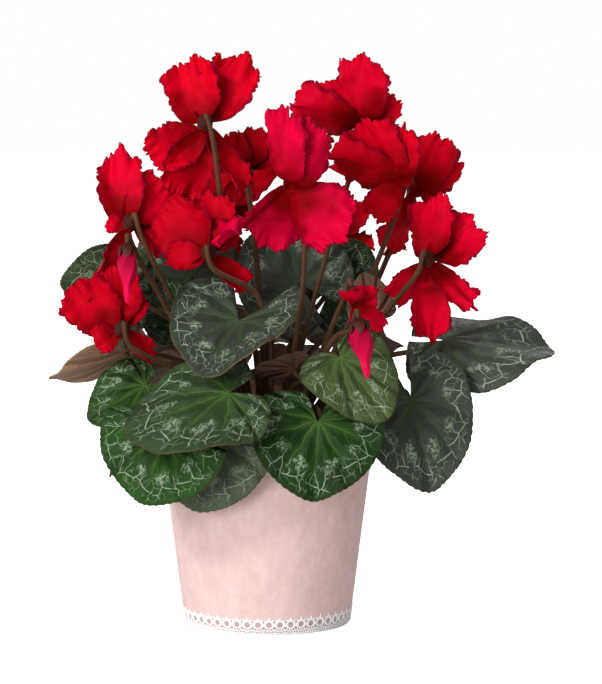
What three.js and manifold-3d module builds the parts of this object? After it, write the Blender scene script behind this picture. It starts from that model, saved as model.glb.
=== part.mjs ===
// A potted cyclamen: a tapered ceramic pot filled with potting soil, a half-buried corm that sends up every
// leaf stalk and flower stalk, heart-shaped leaf blades on the leaf stalks, and frilled red blooms and buds
// that nod from the flower stalks. Millimetres, +Z up, the origin at the centre of the pot's underside, the
// front at -Y.
import * as THREE from "three";
import Module from "manifold-3d";
import { mergeVertices } from "three/addons/utils/BufferGeometryUtils.js";

// Pot and soil
const POT_HEIGHT = 118;
const POT_BASE_RADIUS = 50;
const POT_RIM_RADIUS = 65;
const POT_WALL = 4;
const POT_FLOOR = 6;
const POT_EDGE = 1.6; // rounding of the foot and the lip
const POT_SIDES = 32;
const SOIL_BELOW_RIM = 12;
const SOIL_RELIEF = 1.5; // how far the soil's surface rises and dips
const SEAT_GAP = 0.3; // clearance between pieces that rest on each other

// Corm and stalks
const CORM_RADIUS = 23;
const CORM_HALF_HEIGHT = 10;
const SOIL_TOP = POT_HEIGHT - SOIL_BELOW_RIM;
const CORM_CENTRE_Z = SOIL_TOP - 1; // the corm's top stands out of the soil
const STALK_SIDES = 5;
const LEAF_STALK_RADIUS = 1.5;
const LEAF_STALK_STEPS = 5;
const CROOK_STEPS = 2; // of a stalk's steps, those in its second half, where it bends to its end
const LEAF_STALK_KNEE = 8; // how far behind the notch the stalk comes down
const BLOOM_STALK_RADIUS = 1.4;
const BLOOM_STALK_STEPS = 6;

// Leaf blades
const BLADE_THICKNESS = 1;
const BLADE_NOTCH = 14; // degrees from the notch's middle to each lobe's edge
const BLADE_COLUMNS = 16;
const BLADE_ROWS = 2;
const BLADE_WAVES = 5; // waves round the margin
const BLADE_POINT = 0.06; // how far the tip stands out of the round outline
const BLADE_TEETH = 0.014; // depth of the scalloped edge, as a share of the blade's half width

// Blooms and buds
const TUBE_RADIUS = 4.6;
const TUBE_LENGTH = 8;
const TUBE_SIDES = 5;
const CALYX_LENGTH = 4.5;
const PETAL_THICKNESS = 0.8;
const PETAL_ROWS = 3;
const PETAL_COLUMNS = 4;
const PETAL_ROOT_RADIUS = 3.4; // where a petal's centre line starts, inside the tube's wall
const PETAL_START_ANGLE = 35; // degrees from the tube's axis where the petal leaves the mouth
const PETAL_LAP = 0.3; // radians that each petal is tipped, so that one edge lies over its neighbour
const PETAL_FRILL = 0.055; // height of the frill at the petal's end, as a share of its length
const BUD_TWISTS = 0.9; // radians that a closed bud's rolled petals turn from base to tip
const BUD_SIDES = 10;
const BUD_ROWS = 6;

// Each leaf: its name, where its stalk joins the blade, where its tip hangs, the way its upper face looks,
// its half width, and its form: the V fold along the midrib, the droop of tip and sides, the droop of the
// lobes beside the notch, the height and phase of its waves (shares of the half width), how far the lobes
// reach, and the half angle of the notch where it differs from the usual.
const LEAVES = [
  // Hanging over the rim, from the left round the front to the right
  ["leaf_01", [-58, -74, 124], [-73, -81, 84], [-0.3, -0.9, 0.4], 41, [0.08, 0.12, 0.3, 0.04, 0.4, 0.25]],
  ["leaf_02", [-22, -73, 147], [-81, -89, 131], [-0.15, -0.65, 0.75], 37, [-0.05, 0.1, 0.1, 0.06, 2.1, 0.65]],
  ["leaf_03", [-71, -42, 148], [-105, -52, 131], [-0.45, -0.7, 0.6], 28, [0.05, 0.1, 0.3, 0.05, 1.2, 0.5]],
  ["leaf_04", [-31, -62, 119], [-41, -68, 77], [-0.3, -1, 0.15], 38, [0.05, 0.05, 0.2, 0.03, 3.0, 0.2]],
  ["leaf_05", [30, -74, 130], [27, -88, 87], [0, -1, 0.35], 39, [0.1, 0.08, 0.3, 0.05, 5.2, 0.6]],
  ["leaf_06", [43, -66, 167], [70, -90, 137], [-0.1, -0.75, 0.65], 27, [0.05, 0.1, 0.3, 0.06, 0.9, 0.5]],
  ["leaf_07", [85, -42, 139], [98, -62, 90], [0.2, -0.9, 0.35], 36, [0.2, 0.1, 0.1, 0.05, 4.4, 1]],
  ["leaf_08", [107, -6, 171], [171, -16, 170], [0.05, -0.55, 0.83], 36, [-0.22, 0.04, 0, 0.13, 3.9, 0.8]],
  // Over the crown, in front and to the sides
  ["leaf_09", [-16, -51, 187], [-38, -81, 162], [-0.32, -0.7, 0.6], 39, [0.38, 0.1, -0.1, 0.05, 3.6, 1, 36]],
  ["leaf_10", [18, 24, 203], [-13, 32, 229], [-0.1, -0.9, 0.3], 35, [0.1, 0.08, 0.1, 0.06, 1.7, 1]],
  ["leaf_11", [64, -12, 186], [56, -12, 212], [-0.35, 0.8, 0.5], 15, [0.25, 0.1, 0, 0.06, 0.2, 0.3]],
  ["leaf_12", [38, 33, 198], [60, 39, 226], [0.1, -0.9, 0.3], 28, [0.12, 0.08, 0.1, 0.06, 4.9, 1]],
  ["leaf_13", [-88, -2, 200], [-121, -10, 209], [-0.2, -0.8, 0.5], 30, [0.2, 0.15, 0.1, 0.08, 5.6, 0.8]],
  ["leaf_14", [-84, -18, 165], [-123, -28, 142], [-0.1, 0.55, 0.8], 19, [0.15, -0.1, 0.1, 0.1, 2.9, 1]],
  ["leaf_15", [-57, 14, 184], [-69, 18, 205], [-0.2, -0.8, 0.45], 19, [0.12, 0.1, 0.1, 0.06, 0.6, 1]],
  ["leaf_16", [-47, 34, 206], [-76, 40, 231], [-0.1, -0.9, 0.3], 32, [0.1, 0.08, 0.1, 0.06, 3.3, 1]],
  ["leaf_17", [17, -42, 158], [-6, -52, 163], [0, 0.6, 0.8], 17, [0.1, 0.1, 0.1, 0.06, 1.4, 0.3]],
  ["leaf_18", [57, -22, 168], [80, -32, 175], [-0.2, 0.5, 0.8], 16, [0.1, 0.1, 0.1, 0.06, 5.0, 0.3]],
  // Round the back
  ["leaf_19", [74, 38, 124], [86, 45, 82], [0.88, 0.47, 0.3], 38, [0.08, 0.08, 0.3, 0.05, 2.2, 0.5]],
  ["leaf_20", [46, 74, 146], [62, 100, 120], [0.35, 0.56, 0.75], 38, [0.1, 0.14, 0.1, 0.06, 4.1, 0.9]],
  ["leaf_21", [-7, 80, 138], [6, 94, 97], [0, 1, 0.3], 31, [0.08, 0.08, 0.1, 0.04, 0.8, 0.8]],
  ["leaf_22", [-44, 74, 146], [-60, 100, 120], [-0.35, 0.56, 0.75], 38, [0.1, 0.14, 0.1, 0.06, 3.9, 0.9]],
  ["leaf_23", [-66, 48, 124], [-76, 57, 82], [-0.75, 0.66, 0.3], 36, [0.08, 0.08, 0.3, 0.05, 1.9, 0.5]],
  ["leaf_24", [44, 54, 171], [60, 84, 155], [0.2, 0.4, 0.9], 31, [0.12, 0.14, 0.1, 0.07, 5.4, 0.8]],
  ["leaf_25", [-2, 64, 177], [-4, 98, 160], [0, 0.35, 0.9], 34, [0.12, 0.14, 0.1, 0.07, 2.5, 0.8]],
  ["leaf_26", [-46, 50, 168], [-68, 78, 152], [-0.25, 0.4, 0.85], 31, [0.12, 0.14, 0.1, 0.07, 0.1, 0.8]],
  ["leaf_27", [-86, -8, 128], [-97, -11, 90], [-1, -0.08, 0.3], 28, [0.08, 0.08, 0.2, 0.05, 1.1, 0.6]],
].map(([name, at, tip, face, half, form]) => ({ name, at, tip, face, half, form }));

// Each bloom: its name, the centre of its mouth, the way the mouth faces (compass heading and degrees below
// level), where its stalk leaves the corm, the point the stalk passes through, and its petals as rows of
// clock angle seen from the front (0 = up, 90 = right), angle from the mouth's axis, length, width and twist.
const BLOOMS = [
  ["bloom_01", [-37, -6, 298], [96, 28], [-6, -2], [-22, -14, 210],
    [[-10, 102, 44, 31, 12], [29, 100, 53, 30, -16], [238, 92, 36, 27, -14],
     [206, 74, 42, 28, 14], [146, 72, 44, 18, 24]]],
  ["bloom_02", [-82, -24, 240], [110, 30], [-10, -4], [-52, -24, 190],
    [[3, 100, 50, 25, 14], [46, 98, 40, 26, -14], [208, 66, 32, 16, 10],
     [290, 100, 9, 12, 30], [112, 70, 24, 18, -20]]],
  ["bloom_03", [-33, -38, 224], [84, 24], [-2, -10], [-4, -34, 198],
    [[-44, 102, 41, 34, 16], [2, 104, 36, 28, -8], [36, 104, 20, 14, -20],
     [128, 60, 27, 15, 12], [272, 88, 23, 16, -16]]],
  ["bloom_04", [-12, 26, 269], [80, 20], [0, 2], [-6, 8, 214],
    [[-24, 100, 25, 18, 12], [10, 104, 25, 20, -12], [42, 100, 24, 18, 16], [198, 80, 14, 16, -16]]],
  ["bloom_05", [14, -41, 264], [262, 34], [8, -8], [22, -26, 214],
    [[-3, 112, 52, 25, 14], [22, 114, 44, 28, -24], [244, 61, 53, 18, 76],
     [203, 66, 36, 31, -6], [121, 66, 41, 36, 10]]],
  ["bloom_06", [82, -6, 266], [255, 26], [12, -4], [61, -2, 206],
    [[-72, 98, 46, 38, 10], [-34, 102, 44, 32, -12], [0, 102, 35, 22, 16], [226, 60, 26, 20, -16]]],
  ["bloom_07", [91, 24, 258], [285, 22], [14, 2], [64, 10, 200],
    [[18, 102, 36, 24, 12], [46, 98, 28, 23, -14], [100, 84, 9, 12, 20], [210, 70, 40, 18, -12]]],
  ["bloom_08", [96, -18, 218], [76, 30], [14, -8], [72, -16, 190],
    [[2, 104, 42, 28, 10], [52, 102, 36, 33, -12], [132, 76, 36, 18, 22],
     [178, 68, 43, 22, 10], [230, 62, 30, 16, -16]]],
  ["bloom_09", [-85, -48, 180], [100, 24], [-12, -10], [-46, -36, 152],
    [[-42, 102, 38, 30, 12], [-4, 102, 38, 28, -8], [26, 100, 24, 16, -18],
     [126, 68, 22, 15, 12], [252, 86, 13, 16, -12]]],
  ["bloom_10", [53, -74, 199], [300, 55], [12, -12], [38, -46, 182],
    [[-44, 100, 14, 14, 10], [4, 100, 13, 14, -10], [64, 80, 8, 11, 10],
     [158, 36, 28, 13, 10], [118, 50, 20, 11, -10]]],
  ["bloom_11", [58, 16, 298], [262, 22], [6, 4], [36, 14, 222],
    [[-2, 100, 44, 32, 10], [-46, 104, 36, 16, -14], [-74, 98, 44, 32, 12],
     [50, 102, 24, 18, 12], [186, 80, 26, 26, -14]]],
  ["bloom_12", [-30, 62, 246], [92, 36], [-8, 12], [-22, 42, 196],
    [[-20, 112, 44, 30, 14], [44, 108, 42, 30, -12], [112, 96, 40, 28, 18],
     [186, 80, 42, 28, -12], [262, 96, 40, 28, 16]]],
  ["bloom_13", [40, 74, 226], [70, 36], [8, 14], [22, 46, 190],
    [[-26, 112, 34, 28, 14], [38, 108, 28, 26, -12], [108, 96, 24, 22, 18],
     [180, 80, 36, 28, -12], [256, 96, 36, 28, 16]]],
].map(([name, mouth, faces, root, via, petals]) => ({ name, mouth, faces, root, via, petals }));

// Each closed bud: its name, the centre of its calyx, where it hangs to, its greatest radius, and its
// stalk's start and waypoint.
const BUDS = [
  ["bud_01", [55, -93, 181], [60, -95, 150], 7, [8, -14], [40, -62, 178]],
  ["bud_02", [-80, -66, 222], [-80, -68, 190], 6, [-14, -2], [-63, -36, 201]],
  ["bud_03", [-2, 90, 205], [-2, 93, 179], 5, [2, 16], [2, 46, 200]],
].map(([name, mouth, tip, radius, root, via]) => ({ name, mouth, tip, radius, root, via }));

const wasm = await Module();
wasm.setup();
const { sin, cos, abs, min, max, exp, PI } = Math;
const radians = THREE.MathUtils.degToRad;
const UP = new THREE.Vector3(0, 0, 1);

const ceramic = new THREE.MeshStandardMaterial({ color: 0xdcb6b0, roughness: 0.75, metalness: 0 });
const peat = new THREE.MeshStandardMaterial({ color: 0x2b1d14, roughness: 1, metalness: 0 });
const stalkSkin = new THREE.MeshStandardMaterial({ color: 0x6b3a2c, roughness: 0.6, metalness: 0 });
const leafGreen = new THREE.MeshStandardMaterial({ color: 0x2f4d33, roughness: 0.55, metalness: 0 });
const petalRed = new THREE.MeshStandardMaterial({ color: 0xd8071f, roughness: 0.6, metalness: 0 });

// A weighted sum of vectors: blend([2, a], [1, b]) is 2a + b.
function blend(...terms) {
  const sum = new THREE.Vector3();
  for (const [weight, vector] of terms) sum.addScaledVector(vector, weight);
  return sum;
}

function smoothstep(x) {
  const t = min(max(x, 0), 1);
  return t * t * (3 - 2 * t);
}

// A closed thin solid from a grid of [front, back] points. Both faces are split along the same diagonals.
// With pole, the whole first row is one point.
function thinSheet(rows, columns, place, pole = false) {
  const faceSize = (rows + 1) * (columns + 1);
  const number = (side, i, j) => side * faceSize + (pole && i === 0 ? 0 : i * (columns + 1) + j);
  const points = [];
  for (const side of [0, 1])
    for (let i = 0; i <= rows; i++)
      for (let j = 0; j <= columns; j++) points.push(...place(i, j)[side].toArray());
  const faces = [];
  const triangle = (a, b, c) => {
    if (a !== b && b !== c && c !== a) faces.push(a, b, c);
  };
  for (let i = 0; i < rows; i++)
    for (let j = 0; j < columns; j++) {
      const corners = [[i, j], [i + 1, j], [i + 1, j + 1], [i, j + 1]];
      const [a, b, c, d] = corners.map(([r, s]) => number(0, r, s));
      const [e, f, g, h] = corners.map(([r, s]) => number(1, r, s));
      triangle(a, b, c);
      triangle(a, c, d);
      triangle(e, g, f);
      triangle(e, h, g);
    }
  const rim = [];
  for (let i = 0; i < rows; i++) rim.push([i, 0]);
  for (let j = 0; j < columns; j++) rim.push([rows, j]);
  for (let i = rows; i > 0; i--) rim.push([i, columns]);
  for (let j = columns; j > 0; j--) rim.push([0, j]);
  rim.forEach(([i, j], k) => {
    const [r, s] = rim[(k + 1) % rim.length];
    triangle(number(0, r, s), number(0, i, j), number(1, i, j));
    triangle(number(0, r, s), number(1, i, j), number(1, r, s));
  });
  const geometry = new THREE.BufferGeometry();
  geometry.setAttribute("position", new THREE.Float32BufferAttribute(points, 3));
  geometry.setIndex(faces);
  return geometry;
}

// A closed geometry as a solid that can be joined and cut, and back again.
function toSolid(geometry) {
  const bare = geometry.clone();
  bare.deleteAttribute("normal");
  bare.deleteAttribute("uv");
  const merged = mergeVertices(bare, 1e-4);
  const mesh = new wasm.Mesh({
    numProp: 3,
    vertProperties: new Float32Array(merged.getAttribute("position").array),
    triVerts: new Uint32Array(merged.index.array),
  });
  mesh.merge();
  const solid = new wasm.Manifold(mesh);
  if (solid.isEmpty()) throw new Error("a piece's surface isn't closed");
  return solid;
}

function toGeometry(solid) {
  const mesh = solid.getMesh();
  const geometry = new THREE.BufferGeometry();
  geometry.setAttribute("position", new THREE.BufferAttribute(mesh.vertProperties, mesh.numProp));
  geometry.setIndex(new THREE.BufferAttribute(mesh.triVerts, 1));
  return geometry;
}

// Joined solids, kept to the largest body, with slivers from the joining smoothed out.
function fuse(geometries, smoothing) {
  const joined = geometries.map(toSolid).reduce((all, one) => all.add(one));
  const bodies = joined.simplify(smoothing).decompose();
  const largest = bodies.reduce((best, one) => (one.volume() > best.volume() ? one : best));
  return toGeometry(largest);
}

// A profile of [radius, height] points turned about Z.
function turned(profile, sides) {
  return new THREE.LatheGeometry(profile.map(([r, z]) => new THREE.Vector2(r, z)), sides).rotateX(PI / 2);
}

// A quarter round of radius POT_EDGE about (r, z), from angle start, for the pot's profile.
function quarterRound(r, z, start) {
  return [0, 1, 2].map((k) => {
    const angle = start + (k * PI) / 4;
    return [r + POT_EDGE * cos(angle), z + POT_EDGE * sin(angle)];
  });
}

const potSlope = (POT_RIM_RADIUS - POT_BASE_RADIUS) / POT_HEIGHT;
const innerRadius = (z) => POT_BASE_RADIUS + potSlope * z - POT_WALL;

// The pot: a tapered shell with a flat underside, a rounded foot and a rounded lip.
function pot() {
  const profile = [
    [0, 0],
    ...quarterRound(POT_BASE_RADIUS - POT_EDGE, POT_EDGE, -PI / 2),
    ...quarterRound(POT_RIM_RADIUS - POT_EDGE, POT_HEIGHT - POT_EDGE, 0),
    [innerRadius(POT_HEIGHT), POT_HEIGHT - POT_EDGE],
    [innerRadius(POT_FLOOR), POT_FLOOR],
    [0, POT_FLOOR],
  ];
  return turned(profile, POT_SIDES);
}

// The corm: a flattened ball, dimpled where the stalks stand.
function corm(grow = 0) {
  const profile = [];
  const steps = 8;
  for (let k = 0; k <= steps; k++) {
    const angle = -PI / 2 + (k * PI) / steps;
    const dimple = 2.5 * exp(-(((steps - k) / 1.5) ** 2));
    profile.push([(CORM_RADIUS + grow) * cos(angle), (CORM_HALF_HEIGHT + grow) * sin(angle) - dimple]);
  }
  profile[0][0] = 0;
  profile[steps][0] = 0;
  return turned(profile, 12).translate(0, 0, CORM_CENTRE_Z);
}

// The soil fills the pot, with a lumpy surface and a socket for the corm.
function soil() {
  const bottom = POT_FLOOR + SEAT_GAP;
  const profile = [[0, bottom], [innerRadius(bottom) - SEAT_GAP, bottom]];
  for (const share of [1, 0.82, 0.62, 0.42, 0.2])
    profile.push([share * (innerRadius(SOIL_TOP) - SEAT_GAP), SOIL_TOP]);
  profile.push([0, SOIL_TOP]);
  const block = turned(profile, 20);
  const places = block.getAttribute("position");
  const edge = innerRadius(SOIL_TOP) - 2;
  for (let k = 0; k < places.count; k++) {
    const [x, y, z] = [places.getX(k), places.getY(k), places.getZ(k)];
    const inside = smoothstep((edge - Math.hypot(x, y)) / 8);
    const lump = sin(0.21 * x + 1) * cos(0.17 * y) + 0.6 * sin(0.4 * x - 0.33 * y);
    if (z > SOIL_TOP - 1) places.setZ(k, z + SOIL_RELIEF * inside * lump);
  }
  return toGeometry(toSolid(block).subtract(toSolid(corm(SEAT_GAP))));
}

// A leaf's own axes: midrib, side and upper normal.
function leafAxes({ at, tip, face }) {
  const midrib = new THREE.Vector3(...tip).sub(new THREE.Vector3(...at)).normalize();
  const looks = new THREE.Vector3(...face);
  const normal = blend([1, looks], [-looks.dot(midrib), midrib]).normalize();
  return [midrib, normal.clone().cross(midrib), normal];
}

// The blade's outline round its stalk, as a share of the half width: a soft point at the tip, rounded lobes
// beside the notch.
function bladeOutline(angle) {
  const tip = BLADE_POINT * exp(-((angle / 0.28) ** 2));
  const lobe = 0.26 * smoothstep((abs(angle) - 2.3) / 0.75);
  return 1 + tip - lobe;
}

// The blade's surface in its own axes, at a share of the way out along an angle round the stalk.
function bladePoint({ at, tip, half, form }, share, angle, toothed) {
  const [fold, droop, back, height, phase, lobes] = form;
  const length = new THREE.Vector3(...at).distanceTo(new THREE.Vector3(...tip)) / (1 + BLADE_POINT);
  const reach = share * bladeOutline(angle) * (1 + toothed);
  const x = reach * cos(angle) * (cos(angle) > 0 ? length / half : lobes);
  const y = reach * sin(angle);
  const folded = fold * (Math.hypot(y, 0.12) - 0.12);
  const drooped = (x > 0 ? droop * x * x : back * x * x) + 0.6 * droop * y * y;
  const waved = height * share * share * sin(BLADE_WAVES * angle + phase);
  return [x, y, folded - drooped + waved].map((distance) => distance * half);
}

function leafBlade(leaf) {
  const notch = leaf.form[6] ?? BLADE_NOTCH;
  const [midrib, side, normal] = leafAxes(leaf);
  const at = new THREE.Vector3(...leaf.at);
  const place = (i, j) => {
    const share = i / BLADE_ROWS;
    const angle = radians(180 - notch) * ((2 * j) / BLADE_COLUMNS - 1);
    const toothed = i === BLADE_ROWS ? BLADE_TEETH * (j % 2 ? -1 : 1) : 0;
    const [x, y, z] = bladePoint(leaf, share, angle, toothed);
    const middle = blend([1, at], [x, midrib], [y, side], [z, normal]);
    return [0.5, -0.5].map((part) => blend([1, middle], [part * BLADE_THICKNESS, normal]));
  };
  return thinSheet(BLADE_ROWS, BLADE_COLUMNS, place, true);
}

// A round stalk along a smooth curve through the points. The crook, past the middle point, is the shorter
// half of the curve and gets its own share of the steps.
function stalk(points, radius, steps) {
  const ring = new THREE.Shape();
  for (let k = 0; k < STALK_SIDES; k++) {
    const angle = (2 * PI * k) / STALK_SIDES;
    if (k) ring.lineTo(radius * cos(angle), radius * sin(angle));
    else ring.moveTo(radius, 0);
  }
  const extrudePath = new THREE.CatmullRomCurve3(points, false, "centripetal");
  const long = 1 - CROOK_STEPS / steps;
  extrudePath.getUtoTmapping = (u) => (u < long ? (0.5 * u) / long : 1 - (0.5 * (1 - u)) / (1 - long));
  return new THREE.ExtrudeGeometry(ring, { steps, extrudePath, bevelEnabled: false });
}

// A leaf stalk leaves the corm on the leaf's side, arches over, and meets the blade from beneath, behind
// the notch.
function leafStalk(leaf) {
  const [midrib, , normal] = leafAxes(leaf);
  const at = new THREE.Vector3(...leaf.at);
  const end = blend([1, at], [-BLADE_THICKNESS / 2 - SEAT_GAP, normal]);
  const heel = blend([1, at], [-4, normal]);
  const knee = blend([1, at], [-7, normal], [-LEAF_STALK_KNEE, midrib]);
  const outward = new THREE.Vector3(knee.x, knee.y, 0).normalize();
  const root = blend([0.5 * CORM_RADIUS, outward], [CORM_CENTRE_Z + 4, UP]);
  const arch = blend([0.45, root], [0.55, knee]);
  arch.z = 0.3 * root.z + 0.7 * knee.z + 8;
  return stalk([root, arch, knee, heel, end], LEAF_STALK_RADIUS, LEAF_STALK_STEPS);
}

// A bloom's own axes: the way its mouth faces, up across it, and right across it as seen from the front.
function bloomAxes({ faces }) {
  const [h, d] = faces.map(radians);
  const axis = new THREE.Vector3(cos(d) * cos(h), cos(d) * sin(h), -sin(d));
  const upward = blend([1, UP], [-axis.z, axis]).normalize();
  const across = axis.clone().cross(upward);
  return [axis, upward, across.multiplyScalar(across.x < 0 ? -1 : 1)];
}

// A petal's centre line turns from the mouth's axis out to its resting angle over its first third. The sheet
// is narrow at the root, broadest near the end, cupped across, twisted along, and frilled towards its edges.
function petal(mouth, axes, [clock, rest, length, width, twist]) {
  const [axis, upward, across] = axes;
  const outward = blend([cos(radians(clock)), upward], [sin(radians(clock)), across]);
  const sideways = axis.clone().cross(outward);
  const samples = 24;
  const turn = (u) => radians(PETAL_START_ANGLE + (rest - PETAL_START_ANGLE) * smoothstep(u / 0.35));
  const reach = (u) => {
    const point = blend([1, mouth], [PETAL_ROOT_RADIUS, outward], [-1.5, axis]);
    for (let k = 0; k < samples; k++) {
      const angle = turn((u * (k + 0.5)) / samples);
      point.addScaledVector(axis, (cos(angle) * u * length) / samples);
      point.addScaledVector(outward, (sin(angle) * u * length) / samples);
    }
    return point;
  };
  const place = (i, j) => {
    const along = i / PETAL_ROWS;
    const v = (2 * j) / PETAL_COLUMNS - 1;
    const notch = i === PETAL_ROWS ? 0.035 * (j % 2 ? -1 : 1) : 0;
    const u = along * (1 - 0.16 * v * v * along + notch);
    const half = 0.5 * width * (0.22 + 0.78 * sin(1.8 * along ** 0.75));
    const angle = turn(u);
    const curl = blend([-sin(angle), axis], [cos(angle), outward]);
    const tau = PETAL_LAP + radians(twist) * u;
    const cross = blend([cos(tau), sideways], [sin(tau), curl]);
    const normal = blend([-sin(tau), sideways], [cos(tau), curl]);
    const frill = PETAL_FRILL * length * along ** 2 * (0.4 + 0.6 * abs(v)) * cos(2 * PI * (v + 1));
    const cup = 0.22 * half * v * v;
    const middle = blend([1, reach(u)], [half * v, cross], [cup + frill, normal]);
    return [-0.5, 0.5].map((part) => blend([1, middle], [part * PETAL_THICKNESS, normal]));
  };
  return thinSheet(PETAL_ROWS, PETAL_COLUMNS, place);
}

// Turns a piece made along Z, with its mouth at the origin, to face along an axis at a point.
function facing(geometry, axis, point) {
  const turnTo = new THREE.Quaternion().setFromUnitVectors(UP, axis);
  return geometry.applyQuaternion(turnTo).translate(point.x, point.y, point.z);
}

function bloom(flower) {
  const axes = bloomAxes(flower);
  const mouth = new THREE.Vector3(...flower.mouth);
  const profile = [
    [0, -TUBE_LENGTH],
    [0.75 * TUBE_RADIUS, -TUBE_LENGTH],
    [TUBE_RADIUS, -0.6 * TUBE_LENGTH],
    [0.92 * TUBE_RADIUS, 0],
    [0, -0.15 * TUBE_LENGTH],
  ];
  const tube = facing(turned(profile, TUBE_SIDES), axes[0], mouth);
  return fuse([tube, ...flower.petals.map((row) => petal(mouth, axes, row))], 0.5);
}

// The calyx: a small cup between the stalk's end and the tube.
function calyx(axis, mouth, radius) {
  const back = -TUBE_LENGTH - SEAT_GAP;
  const profile = [
    [0, back - CALYX_LENGTH],
    [BLOOM_STALK_RADIUS, back - CALYX_LENGTH],
    [radius, back - 0.3 * CALYX_LENGTH],
    [radius, back],
    [0, back],
  ];
  return facing(turned(profile, 5), axis, mouth);
}

// A flower stalk rises from the corm, hooks over at the top and ends in the calyx.
function bloomStalk(flower, axis, mouth) {
  const root = new THREE.Vector3(flower.root[0], flower.root[1], CORM_CENTRE_Z + 5);
  const end = blend([1, mouth], [-TUBE_LENGTH - 0.7 * CALYX_LENGTH, axis]);
  const hook = blend([1, end], [-5, axis]);
  const via = new THREE.Vector3(...flower.via);
  const inward = new THREE.Vector3(via.x - hook.x, via.y - hook.y, 0).normalize();
  const neck = blend([1, hook], [2 + 8 * axis.z ** 2, inward], [-12, UP]);
  return stalk([root, via, neck, hook, end], BLOOM_STALK_RADIUS, BLOOM_STALK_STEPS);
}

const budAxis = (bud) => new THREE.Vector3(...bud.tip).sub(new THREE.Vector3(...bud.mouth)).normalize();

// A closed bud: rolled petals that swell below the calyx and taper to a twisted point.
function bud(flower) {
  const length = new THREE.Vector3(...flower.tip).distanceTo(new THREE.Vector3(...flower.mouth));
  const shape = [[0, 0]];
  for (let k = 0; k < BUD_ROWS; k++) {
    const u = k / (BUD_ROWS - 1);
    const swell = 0.55 + 0.45 * sin(PI * min(1, 1.5 * u));
    shape.push([flower.radius * swell * (1 - 0.72 * u ** 2.2), u * length]);
  }
  shape.push([0, length]);
  const geometry = turned(shape, BUD_SIDES);
  const places = geometry.getAttribute("position");
  for (let k = 0; k < places.count; k++) {
    const [x, y, z] = [places.getX(k), places.getY(k), places.getZ(k)];
    const ridge = 1 + 0.1 * cos(5 * (Math.atan2(y, x) - (BUD_TWISTS * z) / length));
    places.setXYZ(k, x * ridge, y * ridge, z - TUBE_LENGTH);
  }
  return facing(geometry, budAxis(flower), new THREE.Vector3(...flower.mouth));
}

// The corm with every stalk and calyx that grows from it.
function cormAndStalks() {
  const pieces = [corm()];
  for (const leaf of LEAVES) pieces.push(leafStalk(leaf));
  for (const flower of BLOOMS) {
    const [axis] = bloomAxes(flower);
    const mouth = new THREE.Vector3(...flower.mouth);
    pieces.push(bloomStalk(flower, axis, mouth), calyx(axis, mouth, 0.9 * TUBE_RADIUS));
  }
  for (const flower of BUDS) {
    const axis = budAxis(flower);
    const mouth = new THREE.Vector3(...flower.mouth);
    pieces.push(bloomStalk(flower, axis, mouth), calyx(axis, mouth, 0.7 * flower.radius));
  }
  return fuse(pieces, 0.16);
}

function piece(name, geometry, material) {
  const mesh = new THREE.Mesh(geometry, material);
  mesh.name = name;
  return mesh;
}

const cyclamen = new THREE.Group();
cyclamen.add(piece("pot", pot(), ceramic));
cyclamen.add(piece("soil", soil(), peat));
cyclamen.add(piece("corm_and_stalks", cormAndStalks(), stalkSkin));
for (const leaf of LEAVES) cyclamen.add(piece(leaf.name, leafBlade(leaf), leafGreen));
for (const flower of BLOOMS) cyclamen.add(piece(flower.name, bloom(flower), petalRed));
for (const flower of BUDS) cyclamen.add(piece(flower.name, bud(flower), petalRed));

export default cyclamen;
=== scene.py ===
# %% [markdown]
# # A potted cyclamen
#
# This lesson dresses a plain solid model of a flowering cyclamen in its pot. The solids fix where
# everything stands: the pot, the soil, the corm with its stalks, each leaf, each bloom and each bud. Here
# each of them gets a finer surface of the same form, with ruffled petals, scalloped and marbled leaves,
# round stalks and a lace band round the pot's foot, and a finish made of shader nodes.
#
# The sizes below are in millimetres, as a gardener would measure them. They are turned into metres at the
# moment a mesh is made. Only the floor, the lamps, the camera and the finishes count in metres.

from functools import partial

import bpy
import numpy as np
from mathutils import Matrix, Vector


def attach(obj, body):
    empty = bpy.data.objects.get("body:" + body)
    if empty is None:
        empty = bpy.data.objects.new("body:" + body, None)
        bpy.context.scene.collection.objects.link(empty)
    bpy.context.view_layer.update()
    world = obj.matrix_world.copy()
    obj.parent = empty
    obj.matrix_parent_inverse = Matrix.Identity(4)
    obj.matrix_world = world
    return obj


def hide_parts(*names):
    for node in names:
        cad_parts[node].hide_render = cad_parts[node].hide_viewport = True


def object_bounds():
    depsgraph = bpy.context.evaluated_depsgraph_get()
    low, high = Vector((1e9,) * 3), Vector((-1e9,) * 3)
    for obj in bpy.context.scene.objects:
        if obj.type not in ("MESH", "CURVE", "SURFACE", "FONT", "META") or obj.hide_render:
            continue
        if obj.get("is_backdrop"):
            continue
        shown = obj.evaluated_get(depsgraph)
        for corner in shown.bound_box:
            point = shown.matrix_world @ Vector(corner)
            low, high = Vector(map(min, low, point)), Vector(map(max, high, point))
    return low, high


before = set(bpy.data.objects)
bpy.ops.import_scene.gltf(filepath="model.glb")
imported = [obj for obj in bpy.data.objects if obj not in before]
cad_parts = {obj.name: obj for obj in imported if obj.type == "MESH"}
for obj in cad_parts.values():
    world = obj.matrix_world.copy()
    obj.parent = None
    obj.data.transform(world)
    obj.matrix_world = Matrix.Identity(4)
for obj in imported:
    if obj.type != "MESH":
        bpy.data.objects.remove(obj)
cad_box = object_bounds()
MM = 0.001
print("nodes in the frame:", len(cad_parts))

# %% [markdown]
# ## Surfaces from grids
#
# Nearly everything on a plant is a thin sheet or a round stalk, and both are grids of points: so many rows
# along, so many columns across. Two helpers cover them. `shell` joins a grid into a closed skin, and
# `sheet` gives a grid a thickness. Both work on whole arrays, so a leaf with thousands of points takes no
# longer to write than one with ten.

# %% Small vector helpers
UP = np.array([0.0, 0.0, 1.0])


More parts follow.
